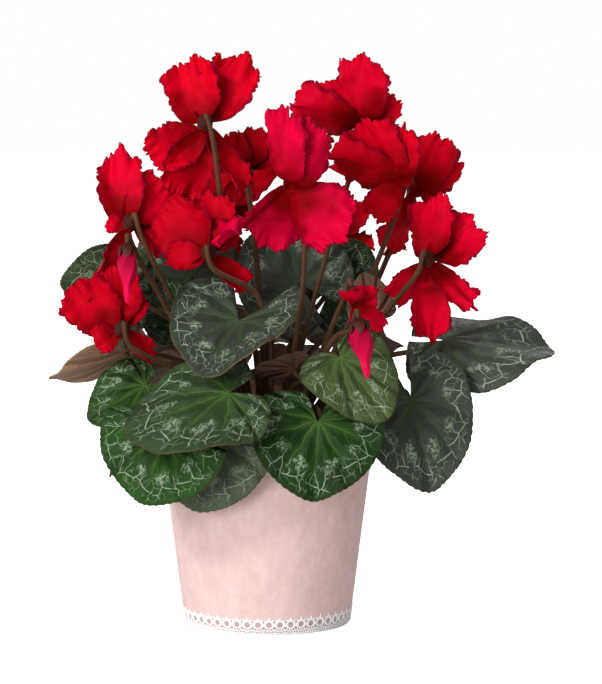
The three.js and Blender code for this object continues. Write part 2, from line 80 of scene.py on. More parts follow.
def unit(vector):
    """The vector, or each vector of an array, divided by its length."""
    vector = np.asarray(vector, float)
    return vector / np.maximum(np.linalg.norm(vector, axis=-1, keepdims=True), 1e-9)


def smoothstep(x):
    """0 below 0, 1 above 1, and the S-shaped cubic 3t^2 - 2t^3 between."""
    t = np.clip(x, 0.0, 1.0)
    return t * t * (3.0 - 2.0 * t)


# %% Grids into faces
def grid_corners(rows, columns):
    """Row and column numbers of the four corners of every cell of a grid, as two arrays of (cells, 4)."""
    i, j = (a.ravel() for a in np.meshgrid(np.arange(rows), np.arange(columns), indexing="ij"))
    return np.stack([i, i + 1, i + 1, i], 1), np.stack([j, j, j + 1, j + 1], 1)


def shell(points, uv=None, wrap_rows=False, wrap_columns=False, poles=(False, False)):
    """A skin over a grid of points. A wrapped direction joins its last line to its first, and a pole is a
    first or last row that shrinks to one point. Returns vertices, faces and the faces' corner UVs."""
    count_i, count_j = points.shape[:2]
    rows = count_i if wrap_rows else count_i - 1
    columns = count_j if wrap_columns else count_j - 1
    if uv is None:
        down, over = np.linspace(0, 1, rows + 1), np.linspace(0, 1, columns + 1)
        along, across = np.meshgrid(down, over, indexing="ij")
        uv = np.stack([across, along], -1)
    ids = np.arange(count_i * count_j).reshape(count_i, count_j)
    i, j = grid_corners(rows, columns)
    corner_uv = uv[np.minimum(i, uv.shape[0] - 1), np.minimum(j, uv.shape[1] - 1)]
    faces = ids[i % count_i, j % count_j]
    first, last = (i[:, 0] == 0) & poles[0], (i[:, 0] == rows - 1) & poles[1]
    body = ~(first | last)
    groups, group_uv = [faces[body]], [corner_uv[body]]
    for at_pole, keep, merged in ((first, [0, 1, 2], 0), (last, [0, 1, 3], 1)):
        if at_pole.any():
            fan = faces[at_pole][:, keep]
            fan[:, merged] = fan[0, merged]
            groups.append(fan)
            group_uv.append(corner_uv[at_pole][:, keep])
    return points.reshape(-1, 3), groups, group_uv


def grid_normals(points, pole=False):
    """Unit normals of a grid: the cross product of its slopes along rows and columns."""
    normals = unit(np.cross(np.gradient(points, axis=0), np.gradient(points, axis=1)))
    if pole:
        normals[0] = unit(normals[1].mean(0))
    return normals


def sheet(points, thickness, uv, pole=False):
    """A closed thin solid round a grid of middle points: an upper face, an under face and a rim between
    them. The faces stand half the thickness to either side along the grid's normals."""
    normals = grid_normals(points, pole)
    count = points.shape[0] * points.shape[1]
    upper = points + 0.5 * thickness * normals
    lower = points - 0.5 * thickness * normals
    _, faces, corners = shell(upper, uv, poles=(pole, False))
    under = [f[:, ::-1] + count for f in faces]
    under_uv = [c[:, ::-1] for c in corners]
    ids = np.arange(count).reshape(points.shape[:2])
    starts = [ids[:-1, 0], ids[-1, :-1], ids[1:, -1][::-1]]
    ends = [ids[1:, 0], ids[-1, 1:], ids[:-1, -1][::-1]]
    if pole:
        starts[0] = np.r_[ids[0, 0], starts[0][1:]]
        ends[2] = np.r_[ends[2][:-1], ids[0, 0]]
    else:
        starts.append(ids[0, 1:][::-1])
        ends.append(ids[0, :-1][::-1])
    a, b = np.concatenate(starts), np.concatenate(ends)
    rim = np.stack([b, a, a + count, b + count], 1)
    flat_uv = uv.reshape(-1, 2)
    rim_uv = flat_uv[rim % count]
    vertices = np.concatenate([upper.reshape(-1, 3), lower.reshape(-1, 3)])
    return vertices, faces + under + [rim], corners + under_uv + [rim_uv]


# %% [markdown]
# A mesh could be built one face at a time, or modelled by hand. Here whole arrays go in, with one call each
# for the places, the corners and the UVs, so the result is quick to make and the same each run. Every piece
# is then hung on the body it rides on, and the plain solids it stands in for are hidden; its material is
# added right after.

# %% Meshes and pieces
def joined(parts):
    """Several (vertices, faces, corner UVs) parts as one."""
    offset, vertices, faces, corners = 0, [], [], []
    for part_vertices, part_faces, part_corners in parts:
        vertices.append(part_vertices)
        faces += [f + offset for f in part_faces]
        corners += part_corners
        offset += len(part_vertices)
    return np.concatenate(vertices), faces, corners


def new_piece(name, part, replaces=(), values=None, smooth=True):
    """Makes a mesh object from a part in millimetres. values are extra numbers a vertex carries, for its
    shader. The object sits at the origin, rides on the root body and takes its place from its mesh."""
    vertices, faces, corners = part
    loops = np.concatenate([f.ravel() for f in faces])
    used, loops = np.unique(loops, return_inverse=True)
    sizes = np.concatenate([np.full(len(f), f.shape[1]) for f in faces])
    mesh = bpy.data.meshes.new(name)
    mesh.vertices.add(len(used))
    mesh.vertices.foreach_set("co", (vertices[used] * MM).astype(np.float32).ravel())
    mesh.loops.add(len(loops))
    mesh.loops.foreach_set("vertex_index", loops.astype(np.int32))
    mesh.polygons.add(len(sizes))
    mesh.polygons.foreach_set("loop_start", np.r_[0, np.cumsum(sizes)[:-1]].astype(np.int32))
    mesh.update(calc_edges=True)
    corner_uv = np.concatenate([c.reshape(-1, 2) for c in corners]).astype(np.float32)
    mesh.uv_layers.new(name="surface").data.foreach_set("uv", corner_uv.ravel())
    for key, numbers in (values or {}).items():
        attribute = mesh.attributes.new(key, "FLOAT", "POINT")
        attribute.data.foreach_set("value", np.asarray(numbers, np.float32)[used])
    mesh.polygons.foreach_set("use_smooth", np.full(len(sizes), smooth))
    mesh.validate()
    piece = bpy.data.objects.new(name, mesh)
    bpy.context.scene.collection.objects.link(piece)
    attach(piece, "root")
    if replaces:
        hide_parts(*replaces)
    return piece


def both_faces(part):
    """For a sheet: 0 on the vertices of the upper face and 1 on those of the under face."""
    count = len(part[0])
    return np.repeat([0.0, 1.0], count // 2)


# %% [markdown]
# ## Stalks
#
# A stalk is a ring carried along a smooth curve. The curve is a centripetal Catmull-Rom spline, which
# passes through its points without loops or cusps. The ring needs two directions across the curve at each
# step: one is the normal of the plane that the curve roughly lies in, and the other follows from it, so the
# ring never spins.

# %% Curves and round stalks
def smooth_path(points, per_span):
    """Points along a centripetal Catmull-Rom spline through the given ones, per_span for each span. A
    span's end slopes weigh its neighbours by the square roots of their lengths."""
    points = np.asarray(points, float)
    ends = np.concatenate([[2 * points[0] - points[1]], points, [2 * points[-1] - points[-2]]])
    t = np.linspace(0, 1, per_span, endpoint=False)[:, None]
    spans = []
    for p0, p1, p2, p3 in zip(ends[:-3], ends[1:-2], ends[2:-1], ends[3:]):
        d0, d1, d2 = (np.sqrt(np.linalg.norm(b - a)) for a, b in ((p0, p1), (p1, p2), (p2, p3)))
        slope1 = ((p1 - p0) / d0 - (p2 - p0) / (d0 + d1) + (p2 - p1) / d1) * d1
        slope2 = ((p2 - p1) / d1 - (p3 - p1) / (d1 + d2) + (p3 - p2) / d2) * d1
        square, cube = -3 * p1 + 3 * p2 - 2 * slope1 - slope2, 2 * p1 - 2 * p2 + slope1 + slope2
        spans.append(p1 + slope1 * t + square * t**2 + cube * t**3)
    return np.concatenate(spans + [points[-1:]])


def round_stalk(path, radius, sides=12):
    """A ring of the given radius (one number, or one for each point) carried along the path, closed at both
    ends."""
    tangents = unit(np.gradient(path, axis=0))
    plane = np.linalg.svd(path - path.mean(0))[2][2]
    first = unit(plane - (tangents @ plane)[:, None] * tangents)
    second = np.cross(first, tangents)
    turn = np.linspace(0, 2 * np.pi, sides, endpoint=False)
    ring = np.cos(turn)[None, :, None] * first[:, None] + np.sin(turn)[None, :, None] * second[:, None]
    radius = np.broadcast_to(radius, len(path))[:, None, None]
    tube = path[:, None] + radius * ring
    ends = [np.repeat(path[k : k + 1, None], sides, 1) for k in (0, -1)]
    return shell(np.concatenate([ends[0], tube, ends[1]]), wrap_columns=True, poles=(True, True))


# %% [markdown]
# ## Shader helpers
#
# A finish is a tree of small nodes. They could be placed and joined by hand in the shader editor. Written
# out, each step is one readable line: these helpers add a node with its settings, do arithmetic on sockets,
# and build a group whose sockets carry plain names.

# %% Nodes
FLOAT, COLOR, VECTOR = "NodeSocketFloat", "NodeSocketColor", "NodeSocketVector"


def feed(tree, node, inputs):
    """Links or sets a node's inputs, by name or number."""
    for key, value in inputs.items():
        if isinstance(value, bpy.types.NodeSocket):
            tree.links.new(value, node.inputs[key])
        else:
            node.inputs[key].default_value = value


def add(tree, kind, inputs=None, **settings):
    """Adds a node, sets its properties and feeds its inputs."""
    node = tree.nodes.new(kind)
    for key, value in settings.items():
        setattr(node, key, value)
    feed(tree, node, inputs or {})
    return node


def calc(tree, operation, *values):
    """One arithmetic step on sockets or numbers."""
    return add(tree, "ShaderNodeMath", dict(enumerate(values)), operation=operation).outputs[0]


def ramp(tree, value, start, end, low=0.0, high=1.0):
    """value mapped smoothly from start..end to low..high."""
    inputs = {"Value": value, "From Min": start, "From Max": end, "To Min": low, "To Max": high}
    return add(tree, "ShaderNodeMapRange", inputs, interpolation_type="SMOOTHSTEP").outputs[0]


def mixed(tree, share, first, second):
    """first where share is 0, second where it is 1. Colours are sockets or (r, g, b) in linear light. A Mix
    node takes its colours at 6 and 7 and gives the mixed one at 2."""
    first, second = (c if isinstance(c, bpy.types.NodeSocket) else (*c, 1.0) for c in (first, second))
    return add(tree, "ShaderNodeMix", {0: share, 6: first, 7: second}, data_type="RGBA").outputs[2]


def noise(tree, place, scale, detail=3.0, roughness=0.5):
    """Smooth noise in 0..1, with features about 1 / scale metres across."""
    inputs = {"Vector": place, "Scale": scale, "Detail": detail, "Roughness": roughness}
    return add(tree, "ShaderNodeTexNoise", inputs)


def moved(tree, vector, shift):
    """The sum of two vectors."""
    return add(tree, "ShaderNodeVectorMath", {0: vector, 1: shift}, operation="ADD").outputs[0]


def times(tree, vector, factor):
    """A vector, or a colour, times a number. The node takes the number at 3."""
    return add(tree, "ShaderNodeVectorMath", {0: vector, 3: factor}, operation="SCALE").outputs[0]


def split(tree, vector):
    """The three numbers of a vector."""
    return add(tree, "ShaderNodeSeparateXYZ", {0: vector}).outputs


def carried(tree, name):
    """A number that each vertex of the mesh carries under this name."""
    return add(tree, "ShaderNodeAttribute", attribute_name=name).outputs["Fac"]


# %% Groups and finishes
def new_group(name, inputs, outputs):
    """An empty shader group. Returns the tree, its input sockets by name and the node that takes its
    outputs."""
    tree = bpy.data.node_groups.new(name, "ShaderNodeTree")
    for direction, sockets in (("INPUT", inputs), ("OUTPUT", outputs)):
        for key, kind in sockets.items():
            tree.interface.new_socket(key, in_out=direction, socket_type=kind)
    return tree, tree.nodes.new("NodeGroupInput").outputs, tree.nodes.new("NodeGroupOutput")


def place_group(tree, group, inputs):
    """The group as a node in a tree. Returns its outputs by name."""
    return add(tree, "ShaderNodeGroup", inputs, node_tree=group).outputs


def new_finish(name, roughness, **shader_values):
    """A material with a Principled shader. Returns it with its tree, shader and Object coordinates."""
    material = bpy.data.materials.new(name)
    material.use_nodes = True
    tree = material.node_tree
    shader = tree.nodes["Principled BSDF"]
    values = {key.replace("_", " "): value for key, value in shader_values.items()}
    feed(tree, shader, {"Roughness": roughness, **values})
    return material, tree, shader, add(tree, "ShaderNodeTexCoord").outputs["Object"]


def on_surface(tree):
    """The place on the piece's own flat pattern, from the UVs of its grid."""
    return add(tree, "ShaderNodeUVMap", uv_map="surface").outputs[0]


def relief(tree, shader, height, distance):
    """Feeds a height, in units of distance metres, to the shader as bumps."""
    bump = add(tree, "ShaderNodeBump", {"Height": height, "Distance": distance, "Strength": 1.0})
    feed(tree, shader, {"Normal": bump.outputs[0]})


# %% [markdown]
# A living surface is never one flat colour. This group takes a colour and lets it drift a little darker and
# lighter, in large soft clouds and in fine grain. Leaves, petals, stalks, soil and glaze all use it, each
# with its own strength and scale, so it is built once and placed in each finish.

# %% Mottle: a group that most finishes share
mottle, given, result = new_group(
    "mottle",
    {"Colour": COLOR, "Place": VECTOR, "Clouds": FLOAT, "Grain": FLOAT, "Strength": FLOAT},
    {"Colour": COLOR, "Value": FLOAT},
)
clouds = noise(mottle, given["Place"], given["Clouds"]).outputs[0]
grain = noise(mottle, given["Place"], given["Grain"], detail=5.0).outputs[0]
both = calc(mottle, "ADD", calc(mottle, "MULTIPLY", clouds, 0.65), calc(mottle, "MULTIPLY", grain, 0.35))
drift = calc(mottle, "MULTIPLY", calc(mottle, "SUBTRACT", both, 0.5), given["Strength"])
brightness = calc(mottle, "ADD", calc(mottle, "MULTIPLY", drift, 2.0), 1.0)
feed(mottle, result, {"Colour": times(mottle, given["Colour"], brightness), "Value": both})


def mottled(tree, shader, place, colour, clouds, grain, strength):
    """Feeds a mottled colour to the shader. Returns the mottle's value, for the relief."""
    inputs = {"Colour": colour, "Place": place, "Clouds": clouds, "Grain": grain, "Strength": strength}
    soft = place_group(tree, mottle, inputs)
    feed(tree, shader, {"Base Color": soft["Colour"]})
    return soft["Value"]


# %% [markdown]
# ## The pot
#
# The pot is a tapered ceramic shell with a rounded foot and lip. It could be a cylinder, scaled and
# bevelled. Here it is turned like a bowl on a wheel: one profile, carried round the axis, so that each size
# is a number that can be read off.

# %% Pot sizes and wall
POT_HEIGHT, POT_BASE_RADIUS, POT_RIM_RADIUS = 118.0, 50.0, 65.0
POT_WALL, POT_FLOOR = 4.0, 6.0
POT_EDGE, INNER_EDGE = 1.6, 1.2  # radii of the round edges: the foot and the lip outside, and the lip inside
POT_SIDES = 168
POT_SLOPE = (POT_RIM_RADIUS - POT_BASE_RADIUS) / POT_HEIGHT
SHARP_ANGLE = 0.7  # radians between two faces, past which the edge between them stays sharp


def turned(profile, sides, poles=(True, True)):
    """A profile of (radius, height) carried round the Z axis."""
    profile = np.asarray(profile, float)
    turn = np.linspace(0, 2 * np.pi, sides, endpoint=False)[::-1]
    x = profile[:, :1] * np.cos(turn)
    y = profile[:, :1] * np.sin(turn)
    z = np.repeat(profile[:, 1:], sides, 1)
    return shell(np.stack([x, y, z], -1), wrap_columns=True, poles=poles)


def rounded(centre_r, centre_z, start, end, radius=POT_EDGE, steps=6):
    """A round edge: points on a circle between two angles."""
    angle = np.linspace(start, end, steps)
    return np.stack([centre_r + radius * np.cos(angle), centre_z + radius * np.sin(angle)], 1)


foot = rounded(POT_BASE_RADIUS - POT_EDGE, POT_EDGE, -np.pi / 2, -0.1)
lip = rounded(POT_RIM_RADIUS - POT_EDGE, POT_HEIGHT - POT_EDGE, 0.1, np.pi / 2)
heights = np.linspace(4, POT_HEIGHT - 4, 24)
wall = np.stack([POT_BASE_RADIUS + POT_SLOPE * heights, heights], 1)
inner_top = [POT_RIM_RADIUS - POT_WALL, POT_HEIGHT - POT_EDGE]
inner_middle = (inner_top[0] + INNER_EDGE, inner_top[1] + POT_EDGE - INNER_EDGE)
inner_lip = rounded(*inner_middle, np.pi / 2, np.pi, radius=INNER_EDGE)
inner_foot = [POT_BASE_RADIUS + POT_SLOPE * POT_FLOOR - POT_WALL, POT_FLOOR]
inside = np.array([[0, POT_FLOOR], inner_foot])
profile = np.concatenate([[[0, 0]], foot, wall, lip, inner_lip, inside[::-1]])
pot_wall = new_piece("pot_wall", turned(profile, POT_SIDES), ["pot"])
pot_wall.data.set_sharp_from_angle(angle=SHARP_ANGLE)
print("pot wall faces:", len(pot_wall.data.polygons))

# %% [markdown]
# Round the foot runs a band of white lace. Its pattern repeats 49 times, so one repeat is about 6.5 mm: a
# large eyelet under a pointed scallop, small holes between the eyelets and rows of pinholes below them. A
# formula says where there is thread and where there is a hole. The band stands a third of a millimetre
# proud where there is thread, and dips under the glaze where there is none, so that the pot itself shows
# through the holes.

# %% Lace band
LACE_REPEATS = 49
LACE_COLUMNS, LACE_ROWS = 28, 44  # cells of the grid: across one repeat, and up the band
LACE_BOTTOM, LACE_TOP, LACE_CREST = 0.15, 9.3, 12.2  # the band's foot, its edge, and above all its points
LACE_LIFT, LACE_DIP, LACE_BACK = 0.35, 0.9, 1.6  # thread above the glaze; holes and the band's back under it
FOOT_INSET = 0.9  # how far the pot's round foot draws in
LACE_HOLES = [  # place across the repeat, height and radius; each is mirrored to the other side
    (0.0, 6.4, 1.45),
    (3.25, 8.1, 0.45),
    (3.25, 4.4, 0.7),
    (1.5, 3.7, 0.4),
    (0.0, 3.3, 0.3),
    (2.4, 2.2, 0.4),
    (0.8, 1.9, 0.35),
]


def lace_thread(across, height):
    """1 where there is thread, 0 where there is a hole or nothing. The top edge rises to a point over the
    middle of each repeat, between two low shoulders, and each hole is a disc cut out of the band."""
    point = 2.0 * np.exp(-((across / 0.75) ** 2))
    shoulder = 0.5 * np.exp(-(((np.abs(across) - 2.3) / 0.5) ** 2))
    thread = smoothstep((LACE_TOP + point + shoulder - height) / 0.3)
    for place, level, radius in LACE_HOLES:
        distance = np.hypot(np.abs(across) - place, height - level)
        thread = thread * smoothstep((distance - radius) / 0.3)
    return thread


turn = np.linspace(0, 2 * np.pi, LACE_REPEATS * LACE_COLUMNS, endpoint=False)
height = np.linspace(LACE_BOTTOM, LACE_CREST, LACE_ROWS + 1)[:, None]
pitch = 2 * np.pi * (POT_BASE_RADIUS + 1) / LACE_REPEATS
across = ((turn * LACE_REPEATS / (2 * np.pi) + 0.5) % 1 - 0.5)[None, :] * pitch
thread = lace_thread(across, height)
wall_radius = POT_BASE_RADIUS + POT_SLOPE * height - FOOT_INSET * smoothstep((POT_EDGE - height) / POT_EDGE)
outer = wall_radius + (LACE_LIFT + LACE_DIP) * thread - LACE_DIP
back_rows = slice(None, None, -(LACE_ROWS // 4))  # from the top down, with a quarter of the rows between
inner = np.repeat(wall_radius[back_rows] - LACE_BACK, len(turn), 1)
radius = np.concatenate([outer, inner])
level = np.repeat(np.concatenate([height, height[back_rows]]), len(turn), 1)
band = np.stack([radius * np.cos(turn), radius * np.sin(turn), level], -1)
lace_band = new_piece("lace_band", shell(band[:, ::-1], wrap_rows=True, wrap_columns=True))
print("lace band faces:", len(lace_band.data.polygons))

# %% [markdown]
# The glaze is a matt pale pink with soft clouds and faint streaks. A photograph of glaze could be laid on
# it, but noise that is stretched a little up the wall gives the same look from every side, with no seam.
# The pink that shows through the lace is darker, as it lies in the threads' shade.

# %% Glaze and lace finishes
GLAZE, GLAZE_PALE, GLAZE_SHADE = (0.72, 0.502, 0.484), (0.79, 0.576, 0.558), (0.48, 0.355, 0.355)
glaze, tree, shader, place = new_finish("pink_glaze", 0.62, IOR=1.4)
stretched = add(tree, "ShaderNodeMapping", {"Vector": place, "Scale": (1.0, 1.0, 0.65)}).outputs[0]
streaks = noise(tree, stretched, 150.0, detail=8.0, roughness=0.68).outputs[0]
colour = mixed(tree, ramp(tree, streaks, 0.35, 0.7), GLAZE, GLAZE_PALE)
behind_lace = ramp(tree, split(tree, place)[2], 0.0082, 0.0092, 1.0, 0.0)
colour = mixed(tree, behind_lace, colour, GLAZE_SHADE)
relief(tree, shader, mottled(tree, shader, place, colour, 60.0, 420.0, 0.16), 0.0006)
pot_wall.data.materials.append(glaze)

LACE_WHITE = (0.88, 0.87, 0.87, 1)
lace, tree, shader, place = new_finish("white_lace", 0.75)
relief(tree, shader, mottled(tree, shader, place, LACE_WHITE, 200.0, 2500.0, 0.1), 0.0003)
lace_band.data.materials.append(lace)
print("pot finishes:", glaze.name, lace.name)

# %% [markdown]
# ## Soil
#
# Potting soil is crumbly peat with a few pale grains. A flat disc with a bumpy finish would look painted on
# where it meets the pot's wall. So its surface has real lumps, as in the solid model, and several hundred
# crumbs lie on it.

# %% Soil
SOIL_TOP, SEAT_GAP = 106.0, 0.3
CORM_RADIUS, CORM_HALF_HEIGHT, CORM_CENTRE_Z = 23.0, 10.0, 105.0
SOIL_RADIUS = POT_BASE_RADIUS + POT_SLOPE * SOIL_TOP - POT_WALL - SEAT_GAP


def soil_height(x, y):
    """The level of the soil: long waves and small lumps, dying out at the pot's wall."""
    inside = smoothstep((SOIL_RADIUS - 2 - np.hypot(x, y)) / 8)
    lump = np.sin(0.21 * x + 1) * np.cos(0.17 * y) + 0.6 * np.sin(0.4 * x - 0.33 * y)
    fine = 0.35 * np.sin(1.3 * x + 0.8 * y) * np.sin(1.1 * y - 0.6 * x)
    fine += 0.3 * np.sin(2.3 * x) * np.cos(2.6 * y + x)
    return SOIL_TOP + inside * (1.5 * lump + fine)


rings = np.linspace(0, 1, 61)[1:-1]
bottom = POT_FLOOR + SEAT_GAP
bottom_radius = POT_BASE_RADIUS + POT_SLOPE * bottom - POT_WALL - SEAT_GAP
side = [[0, bottom], [bottom_radius, bottom], [SOIL_RADIUS, SOIL_TOP]]
top = np.stack([SOIL_RADIUS * rings[::-1], np.full(len(rings), SOIL_TOP)], 1)
soil_part = turned(np.concatenate([side, top, [[0, SOIL_TOP]]]), 180)
points = soil_part[0]
is_top = points[:, 2] > SOIL_TOP - 0.01
points[is_top, 2] = soil_height(points[is_top, 0], points[is_top, 1])
soil_surface = new_piece("soil_surface", soil_part, ["soil"])
print("soil faces:", len(soil_surface.data.polygons), "radius in mm:", round(SOIL_RADIUS, 1))

# %% [markdown]
# A crumb is an icosahedron of twenty faces, because nobody looks closer than that. Its corners are the
# golden rectangle's in three directions, and its faces are the triples of corners that are near one
# another. Each crumb is scaled by its own three sizes, and all of them are one mesh.

# %% Crumbs
CRUMBS = 700
PALE_SHARE = 0.05  # of the crumbs
rng = np.random.default_rng(7)
golden = (1 + 5**0.5) / 2
corners = unit([(0, s, t * golden) for s in (-1, 1) for t in (-1, 1)])
corners = np.concatenate([corners, corners[:, [1, 2, 0]], corners[:, [2, 0, 1]]])
gaps = np.linalg.norm(corners[:, None] - corners[None], axis=-1)
near = (gaps > 0.1) & (gaps < 1.2)
triples = np.argwhere(near[:, :, None] & near[None] & near[:, None])
triples = triples[(triples[:, 0] < triples[:, 1]) & (triples[:, 1] < triples[:, 2])]
one, two, three = (corners[triples[:, k]] for k in range(3))
inward = (np.cross(two - one, three - one) * one).sum(1) < 0
triples[inward] = triples[inward][:, ::-1]
spread = (SOIL_RADIUS - 3) * np.sqrt(rng.uniform(0.16, 1, CRUMBS))
turn = rng.uniform(0, 2 * np.pi, CRUMBS)
crumb_x, crumb_y = spread * np.cos(turn), spread * np.sin(turn)
crumb_z = soil_height(crumb_x, crumb_y) + 0.3
size = rng.gamma(3.0, 0.35, CRUMBS).clip(0.4, 2.6)[:, None] * rng.uniform(0.6, 1.2, (CRUMBS, 3))
crumb_points = np.stack([crumb_x, crumb_y, crumb_z], 1)[:, None] + size[:, None] * corners[None]
crumb_faces = (triples[None] + len(corners) * np.arange(CRUMBS)[:, None, None]).reshape(-1, 3)
pale_crumb = np.repeat(rng.random(CRUMBS) < PALE_SHARE, len(corners))
crumb_part = (crumb_points.reshape(-1, 3), [crumb_faces], [np.zeros((len(crumb_faces), 3, 2))])
soil_crumbs = new_piece("soil_crumbs", crumb_part, values={"pale": pale_crumb}, smooth=False)
print("crumbs:", CRUMBS, "faces:", len(soil_crumbs.data.polygons))

# %% Soil finish
PEAT, PALE_GRAIN = (0.030, 0.019, 0.013), (0.45, 0.41, 0.35)
peat, tree, shader, place = new_finish("potting_soil", 0.95)
colour = mixed(tree, carried(tree, "pale"), PEAT, PALE_GRAIN)
relief(tree, shader, mottled(tree, shader, place, colour, 120.0, 900.0, 0.9), 0.003)
for piece in (soil_surface, soil_crumbs):
    piece.data.materials.append(peat)


# %% [markdown]
# ## Where everything grows
#
# The plant is three tables. A leaf has a notch where its stalk meets it, a tip, the way its upper face
# looks, half its width and its form: fold along the midrib, droop of the front and back, height and phase
# of its waves, and how far its two lobes reach behind the notch. A bloom hangs from the crook of its stalk
# with its mouth at one point and its petals swept back: each petal has a clock angle, an angle from the
# mouth's axis, a length, a width and a twist. Places are (x, y, z), and angles are in degrees.

# %% Leaf table
LEAVES = {
    # Hanging over the rim, from the left round the front to the right
    "leaf_01": ([-58, -74, 124], [-73, -81, 84], [-0.3, -0.9, 0.4], 41, [0.08, 0.12, 0.3, 0.04, 0.4, 0.25]),
    "leaf_02": ([-22, -73, 147], [-81, -89, 131], [-0.15, -0.65, 0.75], 37, [-0.05, 0.1, 0.1, 0.06, 2.1, 0.65]),
    "leaf_03": ([-71, -42, 148], [-105, -52, 131], [-0.45, -0.7, 0.6], 28, [0.05, 0.1, 0.3, 0.05, 1.2, 0.5]),
    "leaf_04": ([-31, -62, 119], [-41, -68, 77], [-0.3, -1, 0.15], 38, [0.05, 0.05, 0.2, 0.03, 3.0, 0.2]),
    "leaf_05": ([30, -74, 130], [27, -88, 87], [0, -1, 0.35], 39, [0.1, 0.08, 0.3, 0.05, 5.2, 0.6]),
    "leaf_06": ([43, -66, 167], [70, -90, 137], [-0.1, -0.75, 0.65], 27, [0.05, 0.1, 0.3, 0.06, 0.9, 0.5]),
    "leaf_07": ([85, -42, 139], [98, -62, 90], [0.2, -0.9, 0.35], 36, [0.2, 0.1, 0.1, 0.05, 4.4, 1]),
    "leaf_08": ([107, -6, 171], [171, -16, 170], [0.05, -0.55, 0.83], 36, [-0.22, 0.04, 0, 0.13, 3.9, 0.8]),
    # Over the crown, in front and to the sides
    "leaf_09": ([-16, -51, 187], [-38, -81, 162], [-0.32, -0.7, 0.6], 39, [0.38, 0.1, -0.1, 0.05, 3.6, 1]),
    "leaf_10": ([18, 24, 203], [-13, 32, 229], [-0.1, -0.9, 0.3], 35, [0.1, 0.08, 0.1, 0.06, 1.7, 1]),
    "leaf_11": ([64, -12, 186], [56, -12, 212], [-0.35, 0.8, 0.5], 15, [0.25, 0.1, 0, 0.06, 0.2, 0.3]),
    "leaf_12": ([38, 33, 198], [60, 39, 226], [0.1, -0.9, 0.3], 28, [0.12, 0.08, 0.1, 0.06, 4.9, 1]),
    "leaf_13": ([-88, -2, 200], [-121, -10, 209], [-0.2, -0.8, 0.5], 30, [0.2, 0.15, 0.1, 0.08, 5.6, 0.8]),
    "leaf_14": ([-84, -18, 165], [-123, -28, 142], [-0.1, 0.55, 0.8], 19, [0.15, -0.1, 0.1, 0.1, 2.9, 1]),
    "leaf_15": ([-57, 14, 184], [-69, 18, 205], [-0.2, -0.8, 0.45], 19, [0.12, 0.1, 0.1, 0.06, 0.6, 1]),
    "leaf_16": ([-47, 34, 206], [-76, 40, 231], [-0.1, -0.9, 0.3], 32, [0.1, 0.08, 0.1, 0.06, 3.3, 1]),
    "leaf_17": ([17, -42, 158], [-6, -52, 163], [0, 0.6, 0.8], 17, [0.1, 0.1, 0.1, 0.06, 1.4, 0.3]),
    "leaf_18": ([57, -22, 168], [80, -32, 175], [-0.2, 0.5, 0.8], 16, [0.1, 0.1, 0.1, 0.06, 5.0, 0.3]),
    # Round the back
    "leaf_19": ([74, 38, 124], [86, 45, 82], [0.88, 0.47, 0.3], 38, [0.08, 0.08, 0.3, 0.05, 2.2, 0.5]),
    "leaf_20": ([46, 74, 146], [62, 100, 120], [0.35, 0.56, 0.75], 38, [0.1, 0.14, 0.1, 0.06, 4.1, 0.9]),
    "leaf_21": ([-7, 80, 138], [6, 94, 97], [0, 1, 0.3], 31, [0.08, 0.08, 0.1, 0.04, 0.8, 0.8]),
    "leaf_22": ([-44, 74, 146], [-60, 100, 120], [-0.35, 0.56, 0.75], 38, [0.1, 0.14, 0.1, 0.06, 3.9, 0.9]),
    "leaf_23": ([-66, 48, 124], [-76, 57, 82], [-0.75, 0.66, 0.3], 36, [0.08, 0.08, 0.3, 0.05, 1.9, 0.5]),
    "leaf_24": ([44, 54, 171], [60, 84, 155], [0.2, 0.4, 0.9], 31, [0.12, 0.14, 0.1, 0.07, 5.4, 0.8]),
    "leaf_25": ([-2, 64, 177], [-4, 98, 160], [0, 0.35, 0.9], 34, [0.12, 0.14, 0.1, 0.07, 2.5, 0.8]),
    "leaf_26": ([-46, 50, 168], [-68, 78, 152], [-0.25, 0.4, 0.85], 31, [0.12, 0.14, 0.1, 0.07, 0.1, 0.8]),
    "leaf_27": ([-86, -8, 128], [-97, -11, 90], [-1, -0.08, 0.3], 28, [0.08, 0.08, 0.2, 0.05, 1.1, 0.6]),
}
PLAIN_NOTCH = 14  # half the notch's opening in degrees
NOTCHES = {"leaf_09": 36}  # the same for the leaf whose notch is wider

# How silvery, how freshly green and how olive a leaf is, from 0 to 1, where it isn't PLAIN_TINT. Past 1,
# the silver lies over the whole blade like frost. The fresh share also darkens the under side with painted
# shade.
PLAIN_TINT = (0.3, 0.5, 0.0)
LEAF_TINTS = {
    "leaf_01": (0.05, 1.0, 0.0),
    "leaf_02": (0.3, 0.7, 0.15),
    "leaf_03": (0.1, 0.9, 0.1),
    "leaf_04": (1.25, 0.4, 0.3),
    "leaf_05": (0.0, 0.55, 0.0),
    "leaf_06": (0.2, 0.7, 0.9),
    "leaf_07": (1.0, 0.2, 0.0),
    "leaf_08": (1.03, 0.2, 0.0),
    "leaf_09": (0.65, 0.0, 0.0),
    "leaf_10": (1.1, 0.0, 0.0),
    "leaf_13": (0.3, 0.1, 0.3),
    "leaf_14": (0.3, 0.0, 0.0),
    "leaf_16": (0.8, 0.2, 0.0),
    # The two leaves inside the crown: their fresh share also gives their under sides painted shade.
    "leaf_17": (0.3, 0.8, 0.0),
    "leaf_18": (0.3, 0.8, 0.0),
}
print("leaves:", len(LEAVES))

